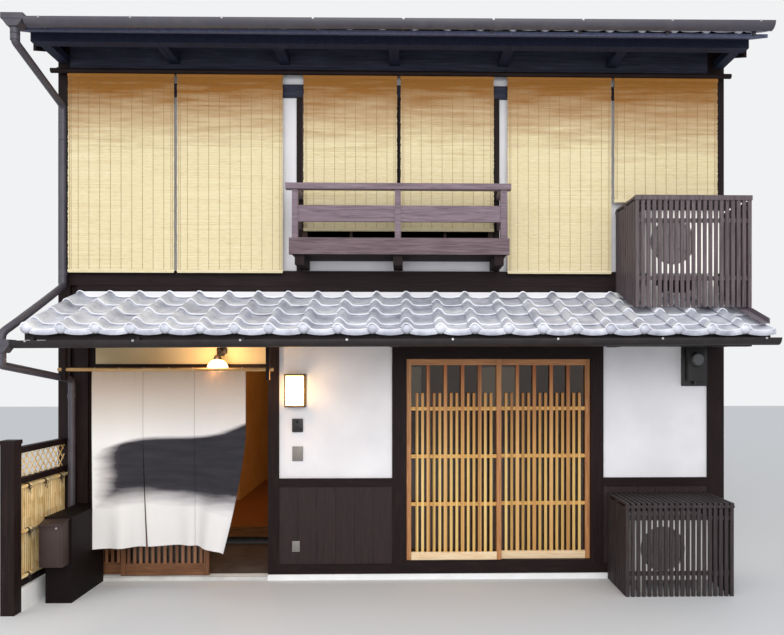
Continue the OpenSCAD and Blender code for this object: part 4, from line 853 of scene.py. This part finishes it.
def clothPoint(panel, u, w):
    # u across one panel, w down the cloth: a slow wave at the head, deeper folds and a swing at the foot
    wide = curtainSet["width"] / curtainSet["panels"]
    x = curtainSet["x0"] + (panel + u) * wide
    down = w * curtainSet["drop"]
    slack = max(0.0, w - 0.35) / 0.65
    swing = (-0.010, 0.0, -0.030)[panel] * slack ** 1.5 - (0.130 * slack ** 1.4 * u if panel == 2 else 0)
    spread = 0.010 * slack * (0.5 - u)
    fold = 0.006 * math.sin(9.0 * (panel + u) + 0.6) + slack * (0.018 * math.sin(5.2 * (panel + u) * 1.7 + panel)
                                                           + 0.008 * math.sin(14 * u + 2 * panel + 3 * w))
    loops = 0.004 * math.cos(2 * math.pi * 5 * u) * max(0, 1 - w * 12)
    inward = ((0.02 + 0.10 * u), (0.11 + 0.04 * u), (0.10 - 0.22 * u))[panel] * slack ** 1.4
    rise = (0.012, 0.020, 0.022 - 0.02 * u)[panel] * w
    return Vector((x + swing + spread, curtainSet["y"] + fold + loops + inward, curtainSet["top"] - down + rise * w))


def makeCurtain():
    panels, last = [], curtainSet["panels"] - 1
    slitAt = curtainSet["slit"] / curtainSet["drop"]
    for panel in range(curtainSet["panels"]):
        piece = gridOf(28, 90)
        flat = piece.data.uv_layers.new(name="cloth")
        spots = {}
        for v in piece.data.vertices:
            u, w = v.co.x + 0.5, 0.5 - v.co.y
            spots[v.index] = ((panel + u) * curtainSet["width"] / curtainSet["panels"], -w * curtainSet["drop"])
            # below the slit the panels part by a few millimetres
            gap = 0.0045 * max(0.0, min(1.0, (w - slitAt) * 8))
            inset = u + (gap if u < 0.02 and panel > 0 else 0) - (gap if u > 0.98 and panel < last else 0)
            v.co = clothPoint(panel, inset, w)
        for loop in piece.data.loops:
            flat.data[loop.index].uv = spots[loop.vertex_index]
        dye = piece.data.attributes.new("dye", "FLOAT", "POINT")
        for v in piece.data.vertices:
            x, z = spots[v.index]
            # a brushed band with slow edges, the upper one rising to the right
            u = x / curtainSet["width"]
            upper = -0.70 + 0.28 * u + 0.05 * math.sin(6 * u)
            lower = -1.22 + 0.03 * math.sin(5 * u)
            dye.data[v.index].value = max(0.0, min(0.95, (upper - z) * 22, (z - lower) * 4.5, u * 5.0))
        panels.append(piece)
    cloth = joinAll(panels, "entranceCurtain")
    applyModifier(cloth, "WELD", merge_threshold=0.0006)
    applyModifier(cloth, "SOLIDIFY", thickness=curtainSet["thick"], offset=0)
    dress(cloth, finish["linen"], smooth=60)
    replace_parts(cloth, "curtain")
    # loops of flat tape go over the pole
    loops = [ringAt((curtainSet["x0"] + 0.03 + i * (curtainSet["width"] - 0.06) / 6, curtainSet["y"], 1.8955),
                    (0, math.pi / 2, 0), 0.0175, 0.0012, 20, 6, (1, 1, 3)) for i in range(7)]
    loopPiece = joinAll(loops, "curtainLoops")
    dress(loopPiece, finish["plainLinen"], smooth=60)


makeCurtain()
print("curtain hung")

# lattice windows and slatted doors, framed up from rails and bars
latticeSet = {"stile": 0.042, "top": 0.055, "bottom": 0.072, "cross": 0.033, "crossAt": 0.2475,
              "crossY": (0.012, 0.026), "barY": (0.003, 0.018), "deep": 0.028, "foot": 0.167, "high": 1.824,
              "gaps": 15, "fullHalf": 0.016, "shortHalf": 0.0125, "shortDrop": 0.308}
doorSet = {"stile": 0.045, "top": 0.062, "bottom": 0.109, "cross": 0.036, "crossY": (0.006, 0.019),
           "barY": (0.002, 0.014), "deep": 0.030, "slat": 0.027, "pitch": 0.053, "high": 1.867, "ends": 1.908,
           "wheel": 0.014, "wheelAt": 0.120}


def roundBox(name, low, high, width=0.0016):
    return bevelEdges(boxAt(name, low, high), width, 1)


def makeStiles(x0, x1, y, z0, z1, work):
    return [roundBox("stile", (x, y, z0), (x + work["stile"], y + work["deep"], z1))
            for x in (x0, x1 - work["stile"])]


def makeLattice(node):
    work = latticeSet
    low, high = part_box(node)
    x0, x1, y, z0 = low.x, high.x, low.y, work["foot"]
    z1 = z0 + work["high"]
    inner0, inner1, back = x0 + work["stile"], x1 - work["stile"], y + work["deep"]

    def crossRail(k):
        z = z0 + work["bottom"] + (work["high"] - work["bottom"]) * k * work["crossAt"]
        return roundBox("cross", (inner0, y + work["crossY"][0], z - work["cross"] / 2),
                        (inner1, y + work["crossY"][1], z + work["cross"] / 2))

    def bar(i, half, top):
        x = inner0 + i * (x1 - x0 - 2 * work["stile"]) / work["gaps"]
        return roundBox("bar", (x - half, y + work["barY"][0], z0 + work["bottom"] - 0.001),
                        (x + half, y + work["barY"][1], top), 0.002)

    # every third bar is a broad full-height one, with two slim short ones between
    full, short = range(3, work["gaps"], 3), [i for i in range(1, work["gaps"]) if i % 3]
    for part, key, pieces in (
            ("Stiles", "frameCypress", makeStiles(x0, x1, y, z0, z1, work)),
            ("Head", "railCypress", [roundBox("head", (inner0, y + 0.001, z1 - work["top"]), (inner1, back, z1))]),
            ("Foot", "footCypress", [roundBox("foot", (inner0, y + 0.001, z0), (inner1, back, z0 + work["bottom"]))]),
            ("Crosses", "crossCypress", [crossRail(k) for k in (1, 2, 3)]),
            ("FullBars", "fullBar", [bar(i, work["fullHalf"], z1 - work["top"] + 0.001) for i in full]),
            ("ShortBars", "shortBar", [bar(i, work["shortHalf"], z1 - work["shortDrop"]) for i in short])):
        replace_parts(dress(joinAll(pieces, node + part), finish[key]), node)


def makeDoor(node, bodyName):
    work = doorSet
    low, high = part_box(node)
    x0, x1, y, z1 = low.x, high.x, low.y, work["ends"]
    z0 = z1 - work["high"]
    inner0, inner1, back = x0 + work["stile"], x1 - work["stile"], y + work["deep"]
    stiles = makeStiles(x0, x1, y, z0, z1, work)
    rails = [roundBox("rail", (inner0, y + 0.001, z0), (inner1, back, z0 + work["bottom"])),
             roundBox("rail", (inner0, y + 0.001, z1 - work["top"]), (inner1, back, z1))]
    for k in (1, 2, 3):
        z = z0 + k * work["high"] / 4
        rails.append(roundBox("rail", (inner0, y + work["crossY"][0], z - work["cross"] / 2),
                              (inner1, y + work["crossY"][1], z + work["cross"] / 2)))
    count = int((inner1 - inner0) / work["pitch"])
    slats = []
    for i in range(count):
        x = inner0 + (i + 0.5) * (inner1 - inner0) / count
        slats.append(roundBox("slat", (x - work["slat"] / 2, y + work["barY"][0], z0 + work["bottom"] - 0.001),
                              (x + work["slat"] / 2, y + work["barY"][1], z1 - work["top"] + 0.001), 0.002))
    z = low.z + work["wheel"]
    wheels = [tubeAt("wheel", (x, y + 0.012, z), (x, y + 0.018, z), work["wheel"], 20)
              for x in (x0 + work["wheelAt"], x1 - work["wheelAt"])]
    for part, key, pieces, smooth in (
            ("Stiles", "doorFrame", stiles, None), ("Rails", "doorRail", rails, None),
            ("Slats", "doorCedar", slats, None), ("Wheels", "casing", wheels, 40)):
        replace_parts(dress(joinAll(pieces, node + part), finish[key], bodyName, smooth), node)
    # a recessed metal pull in the stile that faces the gap
    pull = roundBox("doorPull", (x1 - 0.031, y - 0.001, 0.86), (x1 - 0.015, y + 0.004, 0.96), 0.0012)
    dress(pull, finish["casing"], bodyName)


for node in ("lattice_left", "lattice_right"):
    makeLattice(node)
makeDoor("entry_door_left", "left_door")
makeDoor("entry_door_right", "right_door")
print("lattices and doors framed")


def bambooStem(name, start, end, radius, joints, sides=12):
    # a stem with a raised ring at each joint, cut in with bisect planes
    stem = tubeAt(name, start, end, radius, sides)
    axis = (Vector(end) - Vector(start)).normalized()
    for at in joints:
        jointAt = Vector(start) + axis * at
        for offset in (-0.0035, 0.0, 0.0035):
            pick(stem)
            bpy.ops.object.mode_set(mode="EDIT")
            bpy.ops.mesh.select_all(action="SELECT")
            bpy.ops.mesh.bisect(plane_co=jointAt + axis * offset, plane_no=axis)
            bpy.ops.object.mode_set(mode="OBJECT")
        for v in stem.data.vertices:
            if abs((v.co - jointAt).dot(axis)) < 0.001:
                middle = Vector(start) + axis * (v.co - Vector(start)).dot(axis)
                v.co = middle + (v.co - middle) * 1.13
    return stem


def makeStems():
    chance = random.Random(5)
    step = (fenceSet["y1"] - fenceSet["y0"]) / fenceSet["stems"]
    kinds = [bambooStem("stemKind", (0, 0, fenceSet["low"]), (0, 0, fenceSet["high"]), fenceSet["pole"], at)
             for at in ((0.16, 0.47), (0.28, 0.60), (0.09, 0.39, 0.68))]
    stems = [copyTo(kinds[chance.randrange(3)], "stem", (fenceSet["x"] + chance.uniform(-0.001, 0.001),
                                                         fenceSet["y0"] + (i + 0.5) * step, 0))
             for i in range(fenceSet["stems"])]
    for kind in kinds:
        bpy.data.objects.remove(kind)
    return stems


def makeStrips():
    # diagonal strips in two layers over the rail, cut off at the ends of the fence
    strips = []
    low, high = fenceSet["strips"]
    for tilt in (-1, 1):
        for i in range(-3, 12):
            y = fenceSet["y0"] + i * 0.085
            (ya, za), (yb, zb) = sorted([(y, low), (y + tilt * (high - low), high)])
            slope = (zb - za) / (yb - ya)
            left, right = max(ya, fenceSet["y0"]), min(yb, fenceSet["y1"])
            if right - left < 0.03:
                continue
            x = fenceSet["x"] + tilt * 0.0035
            strip = tubeAt("strip", (x, left, za + slope * (left - ya)), (x, right, za + slope * (right - ya)),
                           0.008, 8)
            for v in strip.data.vertices:
                v.co.x = x + (v.co.x - x) * 0.42
            strips.append(strip)
    return strips


def makeTies():
    # dark palm rope: two turns, a bow and two tails at each tie
    ties = []
    x = fenceSet["x"] + fenceSet["railAt"]
    for z in fenceSet["rails"]:
        for y in fenceSet["ties"]:
            for side in (-1, 1):
                ties.append(ringAt((x, y + side * 0.005, z), (math.pi / 2, 0, side * 0.12), 0.0185, 0.0030, 16, 6))
            for side in (-1, 1):
                ties.append(ringAt((x + 0.021, y + side * 0.013, z - 0.012), (0.3, math.pi / 2, 0),
                                   0.014, 0.0024, 14, 6, (1.0, 0.75, 1.0)))
                ties.append(tubeAt("tail", (x + 0.020, y, z),
                                   (x + 0.021, y + side * 0.016, z - 0.058 - 0.008 * side), 0.0024, 6))
    return ties


def makeRails():
    rails = []
    for z in fenceSet["rails"]:
        for side in (-1, 1):
            x = fenceSet["x"] + side * fenceSet["railAt"]
            rails.append(bambooStem("rail", (x, fenceSet["y0"], z), (x, fenceSet["y1"], z), fenceSet["railThick"],
                                    (0.17, 0.43, 0.66)))
    return rails


def makeFence():
    for name, make, key in (("bambooPanel", makeStems, "bambooStems"), ("bambooRails", makeRails, "bambooRail"),
                            ("diagonalStrips", makeStrips, "bambooRail")):
        piece = joinAll(make(), name)
        dress(piece, finish[key], smooth=40)
        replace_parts(piece, "fence_panels")
    dress(joinAll(makeTies(), "ropeTies"), finish["rope"], smooth=60)


makeFence()
print("fence made")

# paths of the two downpipes, and where their collars and straps sit
pipeSet = {
    "radius": 0.031, "wallY": -0.0552, "bend": 0.045, "fall": 0.005,
    "upper": [(-2.963, -0.771, 4.528), (-2.963, -0.771, 4.468), (-2.938, -0.0552, 4.228), (-2.938, -0.0552, 2.635),
              (-2.912, -0.420, 2.470), (-2.900, -0.860, 2.262), (-2.963, -0.948, 2.175), (-2.963, -0.960, 2.095)],
    "lower": [(-2.963, -0.960, 1.975), (-2.963, -0.960, 1.9276), (-2.862, -0.0552, 1.8056),
              (-2.862, -0.0552, 0.005)],
    "collars": [(-2.938, -0.0552, 3.95), (-2.938, -0.0552, 2.75), (-2.862, -0.0552, 1.66), (-2.862, -0.0552, 0.62),
                (-2.963, -0.771, 4.50), (-2.963, -0.960, 1.95)],
    "straps": [(-2.938, 3.40), (-2.938, 4.10), (-2.862, 1.25), (-2.862, 0.25)],
    # each gutter's ends, its middle line, rim height at the left end, and number of clips less one
    "gutters": [(-2.876, 2.990, -0.960, 2.1126, 7), (-2.876, 3.044, -0.771, 4.643, 8)]}


def pipeAlong(name, corners, radius, bend):
    # a round pipe on a path whose corners are turned with short arcs
    corners = [Vector(corner) for corner in corners]
    points = [corners[0]]
    for before, here, after in zip(corners, corners[1:], corners[2:]):
        cut = min(bend, (here - before).length * 0.45, (after - here).length * 0.45)
        a, b = here + (before - here).normalized() * cut, here + (after - here).normalized() * cut
        for i in range(7):
            t = i / 6
            points.append(a * (1 - t) ** 2 + here * 2 * t * (1 - t) + b * t ** 2)
    points.append(corners[-1])
    line = bpy.data.curves.new(name, "CURVE")
    line.dimensions = "3D"
    line.bevel_depth, line.bevel_resolution, line.use_fill_caps = radius, 5, True
    path = line.splines.new("POLY")
    path.points.add(len(points) - 1)
    for spot, point in zip(path.points, points):
        spot.co = (*point, 1)
    piece = bpy.data.objects.new(name, line)
    bpy.context.collection.objects.link(piece)
    pick(piece)
    bpy.ops.object.convert(target="MESH")
    return bpy.context.object


def makePipes():
    wallY, radius = pipeSet["wallY"], pipeSet["radius"]
    parts = [pipeAlong(key + "Pipe", pipeSet[key], radius, pipeSet["bend"]) for key in ("upper", "lower")]
    # socket collars, and straps that hold the pipe to the wall
    for x, y, z in pipeSet["collars"]:
        parts.append(tubeAt("collar", (x, y, z - 0.022), (x, y, z + 0.022), radius + 0.0045, 24))
    for x, z in pipeSet["straps"]:
        parts.append(tubeAt("strap", (x, wallY, z - 0.012), (x, wallY, z + 0.012), radius + 0.003, 24))
        parts.append(boxAt("strapArm", (x - 0.010, wallY + 0.02, z - 0.010), (x + 0.010, -0.0005, z + 0.010)))
    pipes = joinAll(parts, "rainPipes")
    dress(pipes, finish["gutter"], smooth=40)
    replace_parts(pipes, "downpipes")


def makeGutterClips():
    # bright clips that hook over the front rim at each bracket
    clips = []
    for x0, x1, y, z, count in pipeSet["gutters"]:
        for i in range(count + 1):
            x = x0 + 0.120 + i * (x1 - x0 - 0.240) / count
            rim = z + (x - x0) * pipeSet["fall"]
            clips.append(boxAt("clip", (x - 0.008, y - 0.0595, rim - 0.012), (x + 0.008, y - 0.051, rim + 0.003)))
            clips.append(tubeAt("clipScrew", (x, y - 0.0610, rim - 0.005), (x, y - 0.0590, rim - 0.005), 0.004, 8))
    dress(softenEdges(joinAll(clips, "gutterClips"), 0.001, 1), finish["clip"])


makePipes()
makeGutterClips()
print("rainwater goods made")


# each box: its two corners, the radius of its edges and the steps in them
fittingSet = {
    "intercomCase": ((-0.922, -0.006, 1.331), (-0.826, 0.018, 1.452), 0.005, 3),
    "callButton": ((-0.852, -0.009, 1.352), (-0.834, -0.005, 1.384), 0.002, 2),
    "coverPlate": ((-0.922, 0.006, 1.068), (-0.826, 0.018, 1.201), 0.004, 2),
    "outdoorSocket": ((-0.922, -0.004, 0.251), (-0.852, 0.008, 0.349), 0.004, 2),
    "meterBoard": ((2.619, -0.004, 1.745), (2.8545, 0.018, 2.125), 0.004, 2),
    "meterBody": ((2.649, -0.074, 1.790), (2.809, -0.003, 2.095), 0.012, 3)}
intercomSet = {"x": -0.874, "lensZ": 1.425, "lens": 0.014, "slots": 5, "slotZ": 1.352, "slotStep": 0.007,
               "slotHigh": 0.0025, "screws": (1.080, 1.189), "screw": 0.004}
meterSet = {"x": 2.729, "drumZ": 1.985, "drum": 0.070, "dial": 0.050, "entryY": -0.040, "entry": 0.018}


def softBox(name):
    low, high, edge, segments = fittingSet[name]
    return softenEdges(boxAt(name, low, high), edge, segments)


def makeIntercom():
    # a dark moulded case with a lens, a call button and slots for the voice
    x, z = intercomSet["x"], intercomSet["lensZ"]
    case = dress(softBox("intercomCase"), finish["casing"])
    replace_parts(case, "wall_fittings")
    small = [tubeAt("lensRing", (x, -0.0085, z), (x, -0.005, z), intercomSet["lens"], 24)]
    for i in range(intercomSet["slots"]):
        z = intercomSet["slotZ"] + i * intercomSet["slotStep"]
        small.append(boxAt("voiceSlot", (-0.898, -0.0068, z), (-0.862, -0.0055, z + intercomSet["slotHigh"])))
    dress(joinAll(small, "intercomDetail"), finish["lens"], smooth=40)
    dress(softBox("callButton"), finish["lens"])
    # brushed cover plate below it, with two screws
    plate = [softBox("coverPlate")]
    plate += [tubeAt("plateScrew", (x, 0.0045, z), (x, 0.0075, z), intercomSet["screw"], 12)
              for z in intercomSet["screws"]]
    dress(joinAll(plate, "coverPlate"), finish["panelMetal"], smooth=40)
    dress(softBox("outdoorSocket"), finish["panelMetal"])


def makeMeter():
    # board, moulded body, drum with a smoked dial, cable entry below
    x, z, y = meterSet["x"], meterSet["drumZ"], meterSet["entryY"]
    parts = [softBox("meterBoard"), softBox("meterBody"),
             bevelEdges(tubeAt("meterDrum", (x, -0.073, z), (x, -0.108, z), meterSet["drum"], 36), 0.012, 3),
             tubeAt("cableEntry", (x, y, 1.790), (x, y, 1.755), meterSet["entry"], 16)]
    meter = joinAll(parts, "powerMeter")
    dress(meter, finish["casing"], smooth=40)
    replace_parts(meter, "wall_fittings")
    dial = bevelEdges(tubeAt("meterDial", (x, -0.1065, z), (x, -0.1095, z), meterSet["dial"], 36), 0.001, 1)
    dress(dial, finish["dial"], smooth=40)


lampSet = {"globe": (-1.554, -0.130), "armZ": 2.065, "arm": 0.0095, "bend": 0.03, "rose": 0.048, "roseThick": 0.014,
           "gallery": (1.9785, 2.022), "galleryWide": 0.042, "neck": 0.55,
           "lantern": ((-0.980, -0.082, 1.559), (-0.796, 0.018, 1.855)), "rim": 0.014, "bar": 0.011}


def makeGlobeArm():
    # wall arm: round rose, bent arm and a dark gallery that grips the opal globe
    (x, y), z = lampSet["globe"], lampSet["armZ"]
    arm = pipeAlong("globeArm", [(x, 0.016, z), (x, -0.075, 2.072), (x, -0.128, 2.035), (x, y, 1.985)],
                    lampSet["arm"], lampSet["bend"])
    deselectAll()
    bpy.ops.mesh.primitive_cylinder_add(vertices=36, radius=lampSet["rose"], depth=lampSet["roseThick"],
                                        location=(x, 0.0105, z), rotation=(math.pi / 2, 0, 0))
    rose = bevelEdges(settle("lampRose"), 0.006, 3)
    foot, head = lampSet["gallery"]
    gallery = tubeAt("globeGallery", (x, y, foot), (x, y, head), lampSet["galleryWide"], 32)
    for v in gallery.data.vertices:
        if v.co.z > 2.0:
            v.co.x, v.co.y = x + (v.co.x - x) * lampSet["neck"], y + (v.co.y - y) * lampSet["neck"]
    metal = joinAll([arm, rose, bevelEdges(gallery, 0.003)], "globeFitting")
    dress(metal, finish["blackBrass"], smooth=40)
    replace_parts(metal, "lamp_metalwork")


def makeLantern():
    # box lantern: brass frame of thin bars round an opal box
    low, high = [Vector(corner) for corner in lampSet["lantern"]]
    rim, bar = lampSet["rim"], lampSet["bar"]
    bars = [boxAt("lanternRim", (low.x, low.y, z), (high.x, high.y, z + rim)) for z in (low.z, high.z - rim)]
    bars += [boxAt("lanternBar", (x, y, low.z), (x + bar, y + bar, high.z))
             for x in (low.x, high.x - bar) for y in (low.y, high.y - bar - 0.001)]
    bars.append(boxAt("lanternBack", (low.x, high.y - 0.006, low.z), (high.x, high.y, high.z)))
    frameBars = softenEdges(joinAll(bars, "lanternFrame"), 0.0015, 1)
    dress(frameBars, finish["brass"])
    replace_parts(frameBars, "lamp_metalwork")


makeIntercom()
makeMeter()
makeGlobeArm()
makeLantern()
print("fittings and lamps made")


def makeLetterbox():
    # a folded steel box: sloping hood, raised door panel, round knob and a mail slot
    x, y, z = -2.810, -0.718, 0.320
    deep = 0.1237
    shell = boxAt("boxShell", (x, y + 0.008, z), (x + 0.185, y + deep, z + 0.352))
    for v in shell.data.vertices:
        if v.co.z > z + 0.3 and v.co.y < y + 0.05:
            v.co.z = z + 0.336
    hood = boxAt("boxHood", (x - 0.006, y - 0.006, z + 0.338), (x + 0.191, y + deep - 0.006, z + 0.368))
    for v in hood.data.vertices:
        lift = (v.co.y - (y - 0.006)) / deep * 0.030
        v.co.z = (z + 0.328 if v.co.z < z + 0.35 else z + 0.341) + lift
    panel = boxAt("boxPanel", (x + 0.016, y + 0.003, z + 0.018), (x + 0.169, y + 0.010, z + 0.300))
    slot = boxAt("mailSlot", (x + 0.045, y + 0.0005, z + 0.045), (x + 0.140, y + 0.006, z + 0.056))
    for part, edge in ((shell, 0.004), (hood, 0.003), (panel, 0.003)):
        softenEdges(part, edge)
    box = joinAll([shell, hood, panel, softenEdges(slot, 0.002, 1)], "letterboxBody")
    dress(box, finish["mailbox"], smooth=40)
    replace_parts(box, "letterbox")
    knob = tubeAt("boxKnob", (x + 0.143, y + 0.004, z + 0.315), (x + 0.143, y - 0.012, z + 0.315), 0.010, 20)
    dress(bevelEdges(knob, 0.003), finish["panelMetal"], smooth=40)


makeLetterbox()

unitSet = {"high": 0.637, "fanX": 0.264, "fanZ": 0.372, "rings": 9, "firstRing": 0.030, "ringStep": 0.0195,
           "guard": 0.19, "recess": 0.192, "recessY": 0.030, "blades": 3, "hub": 0.045, "blade": 0.125}


def readUnits():
    # front left corner and foot of each case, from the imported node
    spots = []
    points = [v.co.copy() for v in nodes["ac_units"].data.vertices]
    for group in ([p for p in points if p.z <= 1.5], [p for p in points if p.z > 1.5]):
        top = max(p.z for p in group)
        case = [p for p in group if p.z > top - 0.01]
        spots.append((min(p.x for p in case), min(p.y for p in case), top - unitSet["high"]))
    return spots


def makeUnit(number, x, y, z):
    # an ivory enamel case with a round wire guard over the fan
    midX, midY, midZ = x + unitSet["fanX"], y - 0.002, z + unitSet["fanZ"]
    parts = [ringAt((midX, midY, midZ), (math.pi / 2, 0, 0), unitSet["firstRing"] + k * unitSet["ringStep"],
                    0.0018, 40, 5) for k in range(unitSet["rings"])]
    for k in range(6):
        across, up = unitSet["guard"] * math.cos(math.pi * k / 6), unitSet["guard"] * math.sin(math.pi * k / 6)
        parts.append(tubeAt("guardBar", (midX - across, midY + 0.001, midZ - up),
                            (midX + across, midY + 0.001, midZ + up), 0.0025, 6))
    # painted shade: the recess floor behind the fan is in the shaded grey casing
    paintFaces("ac_units", finish["recess"], lambda c: abs(c.y - y - unitSet["recessY"]) < 0.004
               and math.hypot(c.x - midX, c.z - midZ) < unitSet["recess"])
    dress(joinAll(parts, "fanGuard%d" % number), finish["recess"], smooth=60)
    blades = []
    for k in range(unitSet["blades"]):
        blade = gridOf(6, 4)
        for v in blade.data.vertices:
            r = unitSet["hub"] + (v.co.x + 0.5) * unitSet["blade"]
            t = v.co.y * 1.3 + k * 2.094 + v.co.x * 0.4
            v.co = (midX + r * math.cos(t), midY + 0.018 + v.co.y * 0.012, midZ + r * math.sin(t))
        blades.append(blade)
    blades.append(tubeAt("fanHub", (midX, midY + 0.010, midZ), (midX, midY + 0.031, midZ), unitSet["hub"], 24))
    fan = joinAll(blades, "fanBlades%d" % number)
    applyModifier(fan, "SOLIDIFY", thickness=0.002)
    dress(fan, finish["recess"], smooth=60)


for number, (x, y, z) in enumerate(readUnits()):
    makeUnit(number, x, y, z)
print("letterbox and outdoor units made")

bpy.context.scene.view_settings.view_transform = "Standard"
